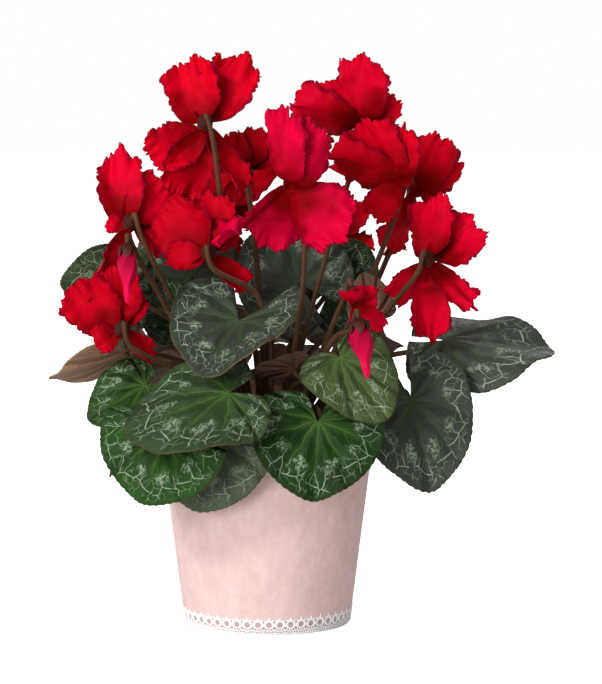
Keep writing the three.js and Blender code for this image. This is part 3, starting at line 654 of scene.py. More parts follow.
# %% Bloom and bud tables
BLOOMS = {  # mouth, its heading from +X towards +Y and its dip, stalk root, stalk waypoint, petals
    "bloom_01": ([-37, -6, 298], [96, 28], [-6, -2], [-22, -14, 210],
        [[-10, 102, 44, 31, 12], [29, 100, 53, 30, -16], [238, 92, 36, 27, -14], [206, 74, 42, 28, 14],
         [146, 72, 44, 18, 24]]),
    "bloom_02": ([-82, -24, 240], [110, 30], [-10, -4], [-52, -24, 190],
        [[3, 100, 50, 25, 14], [46, 98, 40, 26, -14], [208, 66, 32, 16, 10], [290, 100, 9, 12, 30],
         [112, 70, 24, 18, -20]]),
    "bloom_03": ([-33, -38, 224], [84, 24], [-2, -10], [-4, -34, 198],
        [[-44, 102, 41, 34, 16], [2, 104, 36, 28, -8], [36, 104, 20, 14, -20], [128, 60, 27, 15, 12],
         [272, 88, 23, 16, -16]]),
    "bloom_04": ([-12, 26, 269], [80, 20], [0, 2], [-6, 8, 214],
        [[-24, 100, 25, 18, 12], [10, 104, 25, 20, -12], [42, 100, 24, 18, 16], [198, 80, 14, 16, -16]]),
    "bloom_05": ([14, -41, 264], [262, 34], [8, -8], [22, -26, 214],
        [[-3, 112, 52, 25, 14], [22, 114, 44, 28, -24], [244, 61, 53, 18, 76], [203, 66, 36, 31, -6],
         [121, 66, 41, 36, 10]]),
    "bloom_06": ([82, -6, 266], [255, 26], [12, -4], [61, -2, 206],
        [[-72, 98, 46, 38, 10], [-34, 102, 44, 32, -12], [0, 102, 35, 22, 16], [226, 60, 26, 20, -16]]),
    "bloom_07": ([91, 24, 258], [285, 22], [14, 2], [64, 10, 200],
        [[18, 102, 36, 24, 12], [46, 98, 28, 23, -14], [100, 84, 9, 12, 20], [210, 70, 40, 18, -12]]),
    "bloom_08": ([96, -18, 218], [76, 30], [14, -8], [72, -16, 190],
        [[2, 104, 42, 28, 10], [52, 102, 36, 33, -12], [132, 76, 36, 18, 22], [178, 68, 43, 22, 10],
         [230, 62, 30, 16, -16]]),
    "bloom_09": ([-85, -48, 180], [100, 24], [-12, -10], [-46, -36, 152],
        [[-42, 102, 38, 30, 12], [-4, 102, 38, 28, -8], [26, 100, 24, 16, -18], [126, 68, 22, 15, 12],
         [252, 86, 13, 16, -12]]),
    "bloom_10": ([53, -74, 199], [300, 55], [12, -12], [38, -46, 182],
        [[-44, 100, 14, 14, 10], [4, 100, 13, 14, -10], [64, 80, 8, 11, 10], [158, 36, 28, 13, 10],
         [118, 50, 20, 11, -10]]),
    "bloom_11": ([58, 16, 298], [262, 22], [6, 4], [36, 14, 222],
        [[-2, 100, 44, 32, 10], [-46, 104, 36, 16, -14], [-74, 98, 44, 32, 12], [50, 102, 24, 18, 12],
         [186, 80, 26, 26, -14]]),
    "bloom_12": ([-30, 62, 246], [92, 36], [-8, 12], [-22, 42, 196],
        [[-20, 112, 44, 30, 14], [44, 108, 42, 30, -12], [112, 96, 40, 28, 18], [186, 80, 42, 28, -12],
         [262, 96, 40, 28, 16]]),
    "bloom_13": ([40, 74, 226], [70, 36], [8, 14], [22, 46, 190],
        [[-26, 112, 34, 28, 14], [38, 108, 28, 26, -12], [108, 96, 24, 22, 18], [180, 80, 36, 28, -12],
         [256, 96, 36, 28, 16]]),
}
BUDS = {  # centre of the calyx, tip, greatest radius, stalk root, stalk waypoint
    "bud_01": ([55, -93, 181], [60, -95, 150], 7, [8, -14], [40, -62, 178]),
    "bud_02": ([-80, -66, 222], [-80, -68, 190], 6, [-14, -2], [-63, -36, 201]),
    "bud_03": ([-2, 90, 205], [-2, 93, 179], 5, [2, 16], [2, 46, 200]),
}
print("blooms:", len(BLOOMS), "petals:", sum(len(row[4]) for row in BLOOMS.values()), "buds:", len(BUDS))

# %% [markdown]
# ## Leaves
#
# A cyclamen leaf is heart-shaped: an outline in polar coordinates about the notch, pulled in towards the
# notch and drawn out to a small point at the tip. The blade sags, folds and waves. A flat plane with a
# picture of a leaf would be quicker, but it would have no teeth and no folds. This sheet follows the same
# rule as the solid model with many more points, adds small round teeth along its margin, and puckers a
# little between the veins. Each corner's UV is the place on the flat leaf, so that the vein pattern needs
# no picture.

# %% Leaf blades
BLADE_THICKNESS = 0.9
BLADE_RINGS, BLADE_SPOKES = 30, 160
BLADE_TEETH = 64
TIP_REACH = 1.06  # how far the point at the tip lies from the notch, where the round outline is at 1


def leaf_axes(at, tip, face):
    """The midrib's direction, the blade's normal and the sideways direction."""
    midrib = unit(np.subtract(tip, at))
    normal = unit(face - np.dot(face, midrib) * midrib)
    return midrib, normal, np.cross(normal, midrib)


def leaf_outline(angle):
    """The flat leaf's reach at an angle from its tip: 1, plus the point at the tip, less the notch's
    shoulders."""
    return 1 + 0.06 * np.exp(-((angle / 0.28) ** 2)) - 0.26 * smoothstep((np.abs(angle) - 2.3) / 0.75)


def leaf_blade(name):
    """The blade of one leaf as a sheet. share runs from the notch to the margin, angle round the leaf. It
    rises by a fold along the midrib, less a sag that grows with the square of the distance, plus waves
    round the margin."""
    at, tip, face, half, (fold, droop, back, wave, phase, lobes) = LEAVES[name]
    midrib, normal, side = leaf_axes(at, tip, np.array(face))
    at, length = np.array(at, float), np.linalg.norm(np.subtract(tip, at)) / TIP_REACH
    edge = np.radians(180 - NOTCHES.get(name, PLAIN_NOTCH))
    rings, spokes = np.linspace(0, 1, BLADE_RINGS + 1) ** 0.9, np.linspace(-edge, edge, BLADE_SPOKES + 1)
    share, angle = np.meshgrid(rings, spokes, indexing="ij")
    tooth = 0.5 - np.abs(np.sin(0.5 * BLADE_TEETH * (angle + 0.03 * np.sin(5 * angle + phase))))
    reach = share * leaf_outline(angle) * (1 - 0.016 * tooth * smoothstep((share - 0.86) / 0.14))
    x = reach * np.cos(angle) * np.where(np.cos(angle) > 0, length / half, lobes)
    y = reach * np.sin(angle)
    folded = fold * (np.hypot(y, 0.12) - 0.12)
    drooped = np.where(x > 0, droop, back) * x**2 + 0.6 * droop * y**2
    waved = wave * share**2 * np.sin(5 * angle + phase)
    ripple = 0.016 * share**3 * np.sin(13 * angle + 2 * phase) * smoothstep((edge - np.abs(angle)) / 0.3)
    furrows = np.abs(np.cos(4.76 * angle / (1 - 0.15 * share)))
    pucker = -0.012 * smoothstep(share / 0.4) * (1 - share) * furrows
    rise = folded - drooped + waved + ripple + pucker
    places = x[..., None] * midrib + y[..., None] * side + rise[..., None] * normal
    flat = 0.5 + 0.5 * share[..., None] * np.stack([np.cos(angle), np.sin(angle)], -1)
    return sheet(at + half * places, BLADE_THICKNESS, flat, pole=True)


# %% [markdown]
# The marbling is arithmetic on the flat leaf. Nine veins fan out from the notch: a point's distance to the
# nearest one gives the vein line with its soft halo, and the same distance shifted outward with the radius
# gives its side veins. Everything is bent by a little noise, so that no two veins look ruled.

# %% Leaf pattern group: veins
VEIN_SPACING = 0.698  # radians between the nine main veins at the notch

leaf_pattern, given, result = new_group(
    "leaf_pattern",
    {"Flat": VECTOR, "Place": VECTOR},
    {"Veins": FLOAT, "Forks": FLOAT, "Silver": FLOAT, "Reach": FLOAT, "Quilt": FLOAT},
)
leaf_calc, leaf_ramp, leaf_noise = (partial(step, leaf_pattern) for step in (calc, ramp, noise))
leaf_moved, leaf_times, leaf_split = (partial(step, leaf_pattern) for step in (moved, times, split))


def leaf_length(x, y):
    """The root of x squared plus y squared."""
    return leaf_calc("SQRT", leaf_calc("ADD", leaf_calc("POWER", x, 2.0), leaf_calc("POWER", y, 2.0)))


doubled = leaf_times(leaf_moved(given["Flat"], (-0.5, -0.5, 0)), 2.0)
reach = leaf_length(*leaf_split(doubled)[:2])
wobble = leaf_noise(given["Place"], 90.0, detail=2.0).outputs[1]
shift = leaf_times(leaf_moved(wobble, (-0.5, -0.5, -0.5)), 0.15)
bent = leaf_split(leaf_moved(doubled, shift))
angle = leaf_calc("ARCTAN2", bent[1], bent[0])
spread = leaf_calc("SUBTRACT", 1.0, leaf_calc("MULTIPLY", reach, 0.15))
to_vein = leaf_calc("PINGPONG", leaf_calc("DIVIDE", leaf_calc("DIVIDE", angle, VEIN_SPACING), spread), 0.5)
distance = leaf_calc("MULTIPLY", leaf_calc("MULTIPLY", to_vein, VEIN_SPACING), reach)
half_width = leaf_calc("SUBTRACT", 0.024, leaf_calc("MULTIPLY", reach, 0.019))
from_vein = leaf_calc("DIVIDE", distance, half_width)
core, halo = leaf_ramp(from_vein, 0.3, 1.4, 1.0, 0.0), leaf_ramp(from_vein, 0.3, 4.5, 0.35, 0.0)
main_vein = leaf_calc("MAXIMUM", core, halo)
side_shift = leaf_calc("MULTIPLY", leaf_calc("SUBTRACT", reach, 0.36), 0.55)
from_side_vein = leaf_calc("ABSOLUTE", leaf_calc("SUBTRACT", distance, side_shift))
side_vein = leaf_ramp(from_side_vein, 0.003, 0.014, 0.55, 0.0)
side_vein = leaf_calc("MULTIPLY", side_vein, leaf_ramp(reach, 0.38, 0.44))
veins = leaf_calc("MAXIMUM", main_vein, side_vein)
quilt = leaf_calc("MULTIPLY", leaf_ramp(distance, 0.0, 0.16), leaf_ramp(reach, 0.1, 0.4))
feed(leaf_pattern, result, {"Veins": veins, "Reach": reach, "Quilt": quilt})

# %% [markdown]
# The silver threads near the margin fork and join like frost. Painted lines would have to be drawn for 27
# leaves. Cells laid out by angle and radius do it by themselves: their borders are the threads, coarse ones
# in some places and fine ones in others. Between each two veins, at six tenths of the way out, lies a
# silver blotch with dark flecks.

# %% Leaf pattern group: silver
far_bent = leaf_split(leaf_moved(doubled, leaf_times(shift, 1.8)))
around = leaf_calc("MULTIPLY", leaf_calc("ARCTAN2", far_bent[1], far_bent[0]), 3.7)
polar = {0: around, 1: leaf_calc("MULTIPLY", reach, 3.6)}
polar = add(leaf_pattern, "ShaderNodeCombineXYZ", polar).outputs[0]


def leaf_border(scale):
    """Distance to the nearest border of cells laid out by angle and radius."""
    inputs = {"Vector": polar, "Scale": scale, "Randomness": 1.0}
    kind = {"voronoi_dimensions": "2D", "feature": "DISTANCE_TO_EDGE"}
    return add(leaf_pattern, "ShaderNodeTexVoronoi", inputs, **kind).outputs["Distance"]


patch = leaf_noise(given["Place"], 170.0, detail=2.0).outputs[0]
fleck = leaf_noise(given["Place"], 620.0, detail=4.0, roughness=0.65).outputs[0]
outer = leaf_calc("MULTIPLY", leaf_ramp(reach, 0.58, 0.68), leaf_ramp(reach, 0.9, 0.97, 1.0, 0.0))
thick = leaf_calc("MULTIPLY", leaf_ramp(leaf_border(1.0), 0.008, 0.036, 1.0, 0.0), outer)
fine = leaf_calc("MULTIPLY", leaf_ramp(leaf_border(1.9), 0.02, 0.07, 0.35, 0.0), outer)
thick = leaf_calc("MULTIPLY", thick, leaf_ramp(patch, 0.36, 0.48))
fine = leaf_calc("MULTIPLY", fine, leaf_ramp(patch, 0.46, 0.6, 1.0, 0.0))
forks = leaf_calc("MAXIMUM", thick, fine)
arc = leaf_calc("MULTIPLY", leaf_calc("SUBTRACT", 0.5, to_vein), leaf_calc("MULTIPLY", reach, VEIN_SPACING))
sideways = leaf_calc("DIVIDE", arc, 0.12)
outward = leaf_calc("DIVIDE", leaf_calc("SUBTRACT", reach, 0.62), 0.10)
raggedness = leaf_calc("MULTIPLY", leaf_calc("SUBTRACT", patch, 0.5), 3.0)
from_blotch = leaf_calc("ADD", leaf_length(sideways, outward), raggedness)
blotch = leaf_calc("MULTIPLY", leaf_ramp(from_blotch, 0.3, 1.2, 1.0, 0.0), leaf_ramp(fleck, 0.42, 0.60))
feed(leaf_pattern, result, {"Forks": forks, "Silver": blotch})
print("leaf pattern nodes:", len(leaf_pattern.nodes))

# %% [markdown]
# The colours go on in layers: the green, fresher where the leaf is young; the slate, olive or frost of some
# leaves; the silver blotches; the pale veins and threads; and the thin olive rim. The under side is brown,
# with painted shade that deepens as the fresh share grows. One finish does for all the leaves, because each
# leaf carries its own shares of these layers as numbers on its vertices.

# %% Leaf finish
DARK_GREEN, FRESH_GREEN, SLATE = (0.009, 0.021, 0.006), (0.014, 0.062, 0.005), (0.050, 0.059, 0.046)
SILVER_GREEN, VEIN_GREEN, RIM_OLIVE = (0.27, 0.35, 0.24), (0.070, 0.140, 0.024), (0.06, 0.055, 0.020)
UNDERSIDE, PAINTED_SHADE_UNDERSIDE, UNDER_VEIN = (0.27, 0.16, 0.10), (0.075, 0.034, 0.026), (0.32, 0.17, 0.12)
OLIVE, THREAD_WHITE = (0.058, 0.085, 0.028), (0.31, 0.38, 0.28)

leaf_green, tree, shader, place = new_finish("leaf_green", 0.5, Specular_IOR_Level=0.12)
pattern = place_group(tree, leaf_pattern, {"Flat": on_surface(tree), "Place": place})
silvery, fresh_and_under_shade = carried(tree, "silvery"), carried(tree, "fresh_and_under_shade")
clouds = ramp(tree, noise(tree, place, 45.0, detail=2.0).outputs[0], 0.35, 0.65, 0.45, 1.0)
base = mixed(tree, calc(tree, "MULTIPLY", clouds, fresh_and_under_shade), DARK_GREEN, FRESH_GREEN)
base = mixed(tree, silvery, base, SLATE)
base = mixed(tree, carried(tree, "olive"), base, OLIVE)
base = mixed(tree, ramp(tree, silvery, 1.0, 2.0), base, SILVER_GREEN)
base = mixed(tree, calc(tree, "MULTIPLY", pattern["Silver"], 0.8), base, SILVER_GREEN)
fading = ramp(tree, pattern["Reach"], 0.3, 0.9, 0.8, 0.1)
fading = calc(tree, "MULTIPLY", fading, ramp(tree, fresh_and_under_shade, 0.0, 1.0, 0.35, 1.0))
base = mixed(tree, calc(tree, "MULTIPLY", pattern["Veins"], fading), base, VEIN_GREEN)
crispness = ramp(tree, silvery, 0.0, 1.0, 0.8, 1.0)
base = mixed(tree, calc(tree, "MULTIPLY", pattern["Forks"], crispness), base, THREAD_WHITE)
base = mixed(tree, ramp(tree, pattern["Reach"], 0.982, 1.0), base, RIM_OLIVE)
# Painted shade on the under side, deeper as the fresh share grows.
beneath = mixed(tree, fresh_and_under_shade, UNDERSIDE, PAINTED_SHADE_UNDERSIDE)
beneath = mixed(tree, calc(tree, "MULTIPLY", pattern["Veins"], 0.4), beneath, UNDER_VEIN)
base = mixed(tree, carried(tree, "under"), base, beneath)
raised = mottled(tree, shader, place, base, 60.0, 900.0, 0.5)
raised = calc(tree, "SUBTRACT", raised, calc(tree, "MULTIPLY", pattern["Veins"], 0.5))
raised = calc(tree, "ADD", raised, calc(tree, "MULTIPLY", pattern["Quilt"], 1.5))
relief(tree, shader, raised, 0.0012)

# %% Leaf pieces
for name in LEAVES:
    part = leaf_blade(name)
    tints = zip(("silvery", "fresh_and_under_shade", "olive"), LEAF_TINTS.get(name, PLAIN_TINT))
    values = {"under": both_faces(part), **{key: np.full(len(part[0]), share) for key, share in tints}}
    new_piece(f"{name}_blade", part, [name], values).data.materials.append(leaf_green)
print("faces of one leaf:", sum(len(f) for f in part[1]))

# %% [markdown]
# ## Petals
#
# A petal starts at the mouth of the tube, bends back sharply and then runs straight. It could be sculpted
# from a plane, but there are dozens of them, all different. So each is worked out from a few numbers: its
# centre line comes from adding up small steps in the direction it points at each moment, and across it the
# sheet is cupped, tipped and twisted. Towards its end it gathers into waves, and its margin is cut into
# uneven scallops and finely crinkled.

# %% Directions round a bloom
TUBE_RADIUS, TUBE_LENGTH, CALYX_LENGTH = 4.6, 8.0, 4.5


def bloom_axes(heading, dip):
    """The way the mouth faces, the upward direction square to it, and the direction to the viewer's right."""
    heading, dip = np.radians(heading), np.radians(dip)
    axis = np.array([np.cos(dip) * np.cos(heading), np.cos(dip) * np.sin(heading), -np.sin(dip)])
    upward = unit(UP - axis[2] * axis)
    across = np.cross(axis, upward)
    return axis, upward, across if across[0] > 0 else -across


def tube_frame(axis):
    """Two directions square to an axis."""
    first = unit(np.cross(axis, UP) if abs(axis[2]) < 0.95 else np.cross(axis, [1.0, 0.0, 0.0]))
    return first, np.cross(axis, first)


def about(profile, axis, centre, sides, ridge=None):
    """A profile of (radius, distance along the axis) carried round any axis. ridge scales the radius by
    angle."""
    first, second = tube_frame(axis)
    turn = np.linspace(0, 2 * np.pi, sides, endpoint=False)
    radius = profile[:, :1] * (1 if ridge is None else ridge(turn[None, :], profile[:, 1:]))
    radius = np.broadcast_to(radius, (len(profile), sides))[..., None]
    ring = np.cos(turn)[:, None] * first - np.sin(turn)[:, None] * second
    points = np.array(centre, float) + radius * ring[None] + profile[:, 1:, None] * axis
    return shell(points, wrap_columns=True, poles=(True, True))


# %% [markdown]
# The margins must look grown. A plain sine wave would give every scallop the same width, so the scallops and
# the waves of the end have a phase that sways to and fro. Eight phases drawn from the petal's own seed make
# it differ from all the others.

# %% Petal margins and waves
def wandering(x, rate, phase, sway, sway_rate, sway_phase):
    """A sine wave along x whose phase is itself a sine wave, so that its waves are wide here and narrow
    there."""
    return np.sin(rate * x + phase + sway * np.sin(sway_rate * x + sway_phase))


def petal_reach(along, v, length, width, phases):
    """The share of the centre line that each point reaches: along, drawn in at the corners, and near the
    end moved by lobes and by coarse and fine scallops."""
    uneven = 0.55 + 0.45 * np.sin(7.3 * v + phases[4])
    scallop = uneven * np.abs(wandering(v, 0.36 * width, phases[0], 1.3, 2.9, phases[2])) ** 0.7
    scallop += 0.4 * np.abs(wandering(v, 0.85 * width, phases[1], 1.5, 5.3, phases[3])) ** 0.6
    lobe = 0.6 * np.sin(4.3 * v + phases[2]) + 0.4 * np.sin(9.1 * v + phases[3])
    margin = smoothstep((along - 0.8) / 0.2)
    return along * (1 - 0.16 * v**2 * along) + margin * (0.045 * lobe - 0.03 + 3.0 / length * scallop)


def scalloped_sides(along, v, length, phases):
    """v moved by the scallops of the side margins, which fade away within the petal as the sixth power of
    v."""
    scallop = 0.11 * np.abs(wandering(along, 0.5 * length, phases[4], 1.4, 8, phases[6]))
    fine = 0.05 * np.abs(np.sin(1.4 * length * along + phases[0])) ** 0.6
    scallop += fine + 0.06 * np.sin(9 * along + phases[5]) - 0.03
    return v * (1 + scallop * np.abs(v) ** 6 * smoothstep((along - 0.2) / 0.3))


def petal_rise(along, v, half, length, width, phases):
    """The height over the petal's plane: a cup that grows as v squared, one large wave across, slow folds,
    and the waves and crinkles of the end and the sides."""
    frill = 0.055 * length * along**2 * (0.4 + 0.6 * np.abs(v)) * np.cos(2 * np.pi * (v + 1))
    gather = smoothstep((along - 0.15) / 0.85)
    folds = gather * np.sin(3.4 * v + phases[6] + 2.5 * along * np.sin(phases[2]))
    folds += 0.3 * gather**2 * np.sin(7.3 * v + phases[7] - 4 * along)
    end_wave = smoothstep((along - 0.7) / 0.3) * wandering(v, 0.42 * width, phases[3], 2, 3, phases[5])
    side_wave = np.abs(v) ** 4 * np.sin(21 * along + phases[1]) * smoothstep((along - 0.4) / 0.25)
    crinkle = smoothstep((along - 0.86) / 0.14) * wandering(v, 1.05 * width, phases[7], 2, 5, phases[1])
    waves = 0.05 * folds + 0.03 * end_wave + 0.026 * side_wave + 0.014 * crinkle
    return 0.22 * half * v**2 + frill + length * waves


# %% Petals and tube
PETAL_THICKNESS = 0.6
PETAL_ROWS, PETAL_COLUMNS = 48, 72
PETAL_LEAN = 35  # degrees from the mouth's axis at which every petal sets out
PETAL_ROOT_OUT, PETAL_ROOT_DEPTH = 3.4, 1.5  # where it starts: out from the axis, and back inside the tube
CENTRE_STEPS = 111  # places along the centre line, up to a tenth past the petal's length


def petal(mouth, axis, upward, across, clock, rest, length, width, twist, seed):
    """One petal as a sheet. along runs from the mouth to the end, v from side to side. It turns from its
    first lean to its rest angle over a third of its length, and the centre line is the running sum of its
    directions."""
    outward = np.sin(np.radians(clock)) * across + np.cos(np.radians(clock)) * upward
    sideways = np.cross(axis, outward)
    phases = np.random.default_rng(seed).uniform(0, 2 * np.pi, 8)
    rows, columns = np.linspace(0, 1, PETAL_ROWS + 1), np.linspace(-1, 1, PETAL_COLUMNS + 1)
    along, v = np.meshgrid(rows, columns, indexing="ij")
    u = petal_reach(along, v, length, width, phases)
    half = 0.5 * width * (0.3 + 0.74 * np.sin(1.9 * along**0.62))
    v = scalloped_sides(along, v, length, phases)

    def turn_at(position):
        """The angle from the mouth's axis, in radians: an S-shaped rise from the lean to the rest angle."""
        return np.radians(PETAL_LEAN + (rest - PETAL_LEAN) * smoothstep(position / 0.35))

    steps = np.linspace(0, 1.1, CENTRE_STEPS)
    middle = 0.5 * (steps[1:] + steps[:-1])
    direction = np.cos(turn_at(middle))[:, None] * axis + np.sin(turn_at(middle))[:, None] * outward
    line = np.concatenate([np.zeros((1, 3)), np.cumsum(direction * 0.01 * length, 0)])
    start = mouth + PETAL_ROOT_OUT * outward - PETAL_ROOT_DEPTH * axis
    centre = start + np.stack([np.interp(u, steps, line[:, k]) for k in range(3)], -1)
    angle = turn_at(u)[..., None]
    curl = -np.sin(angle) * axis + np.cos(angle) * outward
    tau = (0.3 + np.radians(twist) * u)[..., None]
    cross = np.cos(tau) * sideways + np.sin(tau) * curl
    normal = -np.sin(tau) * sideways + np.cos(tau) * curl
    rise = petal_rise(along, v, half, length, width, phases)
    points = centre + (half * v)[..., None] * cross + rise[..., None] * normal
    flat = np.stack([0.5 + 0.5 * np.clip(v, -1, 1), along], -1)
    return sheet(points, PETAL_THICKNESS, flat)


THROAT = [0.5, 0.05]  # the place on the petal pattern whose dark red the whole tube has


def tube(mouth, axis):
    """The short tube that the petals spring from, with its dark throat: a profile carried round the axis."""
    foot = [[0, -TUBE_LENGTH], [2.4, -TUBE_LENGTH]]
    outside = [[3.45, -7.7], [4.2, -6.4], [TUBE_RADIUS, -4.8], [4.55, -2.5], [4.2, -0.4], [3.8, 0]]
    throat = [[3.3, -0.4], [2.6, -1.8], [1.4, -3.0], [0, -3.2]]
    vertices, faces, corners = about(np.array(foot + outside + throat), axis, mouth, 40)
    return vertices, faces, [0 * c + THROAT for c in corners]


# %% [markdown]
# A petal is deep crimson in its throat and scarlet towards its end, combed with fine threads that run along
# it, and darker at its very edge. The crimson towards the mouth and in soft patches is partly its own colour
# and partly painted shade. One flat red would look like plastic. The group turns the place on the flat petal
# into these three shares, and the finish mixes the reds by them.

# %% Petal shading group
petal_pattern, given, result = new_group(
    "petal_pattern",
    {"Flat": VECTOR, "Place": VECTOR},
    {"Depth": FLOAT, "Threads": FLOAT, "Edge": FLOAT},
)
petal_calc = partial(calc, petal_pattern)
across, along = split(petal_pattern, given["Flat"])[:2]
cloud = noise(petal_pattern, given["Place"], 70.0).outputs[0]
# Crimson towards the mouth and in soft patches: partly the throat's own colour, partly painted shade.
drifting = petal_calc("ADD", along, petal_calc("MULTIPLY", petal_calc("SUBTRACT", cloud, 0.5), 1.1))
throat_and_shade = ramp(petal_pattern, drifting, 0.1, 0.85, 1.0, 0.0)
combed = {0: petal_calc("MULTIPLY", across, 60.0), 1: petal_calc("MULTIPLY", along, 3.0)}
combed = add(petal_pattern, "ShaderNodeCombineXYZ", combed).outputs[0]
threads = noise(petal_pattern, combed, 1.0, detail=2.0).outputs[0]
from_side = petal_calc("MULTIPLY", petal_calc("PINGPONG", across, 0.5), 2.0)
side_edge = ramp(petal_pattern, from_side, 0.0, 0.05, 1.0, 0.0)
edge = petal_calc("MAXIMUM", side_edge, ramp(petal_pattern, along, 0.965, 1.0))
feed(petal_pattern, result, {"Depth": throat_and_shade, "Threads": threads, "Edge": edge})
print("petal pattern nodes:", len(petal_pattern.nodes))

# %% Petal finish
SCARLET, CRIMSON = (0.61, 0.0, 0.008), (0.19, 0.0, 0.0015)
EDGE_RED, ROSE = (0.20, 0.0, 0.018), (0.64, 0.0, 0.036)
petal_red, tree, shader, place = new_finish("petal_red", 0.6, Specular_IOR_Level=0.03)
pattern = place_group(tree, petal_pattern, {"Flat": on_surface(tree), "Place": place})
colour = mixed(tree, carried(tree, "rosy"), SCARLET, ROSE)
colour = mixed(tree, carried(tree, "deep"), colour, CRIMSON)
# Painted shade in part: crimson towards the mouth and in soft patches, over the throat's own dark red.
colour = mixed(tree, pattern["Depth"], colour, CRIMSON)
colour = mixed(tree, ramp(tree, pattern["Threads"], 0.35, 0.7, 0.0, 0.14), colour, CRIMSON)
colour = mixed(tree, calc(tree, "MULTIPLY", pattern["Edge"], 0.75), colour, EDGE_RED)
raised = mottled(tree, shader, place, colour, 90.0, 700.0, 0.25)
raised = calc(tree, "ADD", calc(tree, "MULTIPLY", pattern["Threads"], 0.15), raised)
relief(tree, shader, raised, 0.0005)

# %% Bloom pieces
PLAIN_ROSE = 0.15  # how far a bloom's scarlet leans to rose, from 0 to 1
ROSY_BLOOMS = {"bloom_02": 0.4, "bloom_05": 1.0, "bloom_08": 0.4, "bloom_10": 0.5, "bloom_11": 0.4}
DEEP_BLOOMS = {"bloom_03": 0.3, "bloom_09": 0.25}  # how far a bloom's red leans to crimson, where it isn't 0
for index, (name, (mouth, facing, _, _, petals)) in enumerate(BLOOMS.items()):
    axes = bloom_axes(*facing)
    parts = [petal(np.array(mouth, float), *axes, *row, 100 * index + k) for k, row in enumerate(petals)]
    parts.append(tube(mouth, axes[0]))
    bloom = joined(parts)
    shares = {"rosy": ROSY_BLOOMS.get(name, PLAIN_ROSE), "deep": DEEP_BLOOMS.get(name, 0.0)}
    values = {key: np.full(len(bloom[0]), share) for key, share in shares.items()}
    new_piece(f"{name}_petals", bloom, [name], values).data.materials.append(petal_red)
print("faces of one bloom:", sum(len(f) for p in parts for f in p[1]))

# %% [markdown]
# ## Buds
#
# A closed bud is its five petals rolled together. Five petal sheets could be wound round one another, but
# at this size only their edges show. So it is a spindle with five ridges that wind round it, darker towards
# its stalk.

# %% Buds
def bud(mouth, tip, radius):
    """A spindle that swells below the calyx and tapers to a point, with five ridges turning as they go."""
    length = np.linalg.norm(np.subtract(tip, mouth))
    u = np.linspace(0, 1, 41)
    swell = 0.55 + 0.45 * np.sin(np.pi * np.minimum(1, 1.5 * u))
    outline = radius * swell * (1 - 0.66 * u**2.4)
    outline[-4:] *= [0.97, 0.86, 0.62, 0.0]
    outline[:3] *= [0.0, 0.75, 0.93]
    profile = np.stack([outline, u * length - TUBE_LENGTH], 1)

    def ridge(turn, height):
        """1.1 on the crest of a ridge and 0.9 in a groove, at an angle that turns with the height."""
        wound = 5 * (turn + 1.6 * (height + TUBE_LENGTH) / length)
        return 1 + 0.1 * (1 - 2 * np.abs(np.sin(wound / 2)) ** 0.7)

    return about(profile, unit(np.subtract(tip, mouth)), mouth, 80, ridge)


# %% Bud finish and pieces
BUD_FOOT, BUD_TIP = (0.34, 0.001, 0.030), (0.74, 0.003, 0.062)
bud_pink, tree, shader, place = new_finish("bud_pink", 0.5, Specular_IOR_Level=0.06)
height = split(tree, on_surface(tree))[1]
colour = mixed(tree, ramp(tree, height, 0.1, 0.9), BUD_FOOT, BUD_TIP)
relief(tree, shader, mottled(tree, shader, place, colour, 160.0, 900.0, 0.35), 0.0004)
for name, (mouth, tip, radius, _, _) in BUDS.items():
    new_piece(f"{name}_petals", bud(mouth, tip, radius), [name]).data.materials.append(bud_pink)
print("buds:", ", ".join(BUDS))

# %% [markdown]
# ## Corm, stalks and calyces
#
# Every stalk grows from the corm, a flattened ball half buried in the soil. A leaf stalk arches over and
# meets the blade from beneath, behind the notch. A flower stalk rises, hooks over and ends in a cup of five
# pointed sepals. Drawn by hand, some forty curves would drift away from what they carry. Each is led by a
# rule through a few points that are worked out from the corm, the blade and the mouth, so it ends where it
# should.

# %% Stalks
LEAF_STALK_RADIUS, BLOOM_STALK_RADIUS = 1.5, 1.4


def leaf_stalk(name):
    """From the corm up to an arch, and from below to the blade behind the notch."""
    at, tip, face = LEAVES[name][:3]
    midrib, normal, _ = leaf_axes(at, tip, np.array(face))
    end, heel, knee = at - 0.6 * normal, at - 4 * normal, at - 7 * normal - 8 * midrib
    root = 0.5 * CORM_RADIUS * unit([knee[0], knee[1], 0]) + (CORM_CENTRE_Z + 4) * UP
    arch = 0.45 * root + 0.55 * knee
    arch[2] = 0.3 * root[2] + 0.7 * knee[2] + 8
    path = smooth_path([root, arch, knee, heel, end], 12)
    radius = LEAF_STALK_RADIUS * np.linspace(1.15, 0.95, len(path))
    return round_stalk(path, radius)


def bloom_stalk(mouth, axis, root, via):
    """From the corm past its waypoint to the crook, and down into the calyx."""
    end = mouth - (TUBE_LENGTH + 0.7 * CALYX_LENGTH) * axis
    hook = end - 5 * axis
    via = np.array(via, float)
    inward = unit([via[0] - hook[0], via[1] - hook[1], 0])
    neck = hook + (2 + 8 * axis[2] ** 2) * inward - 12 * UP
    path = smooth_path([[*root, CORM_CENTRE_Z + 5], via, neck, hook, end], 14)
    return round_stalk(path, BLOOM_STALK_RADIUS * np.linspace(1.25, 0.95, len(path)))


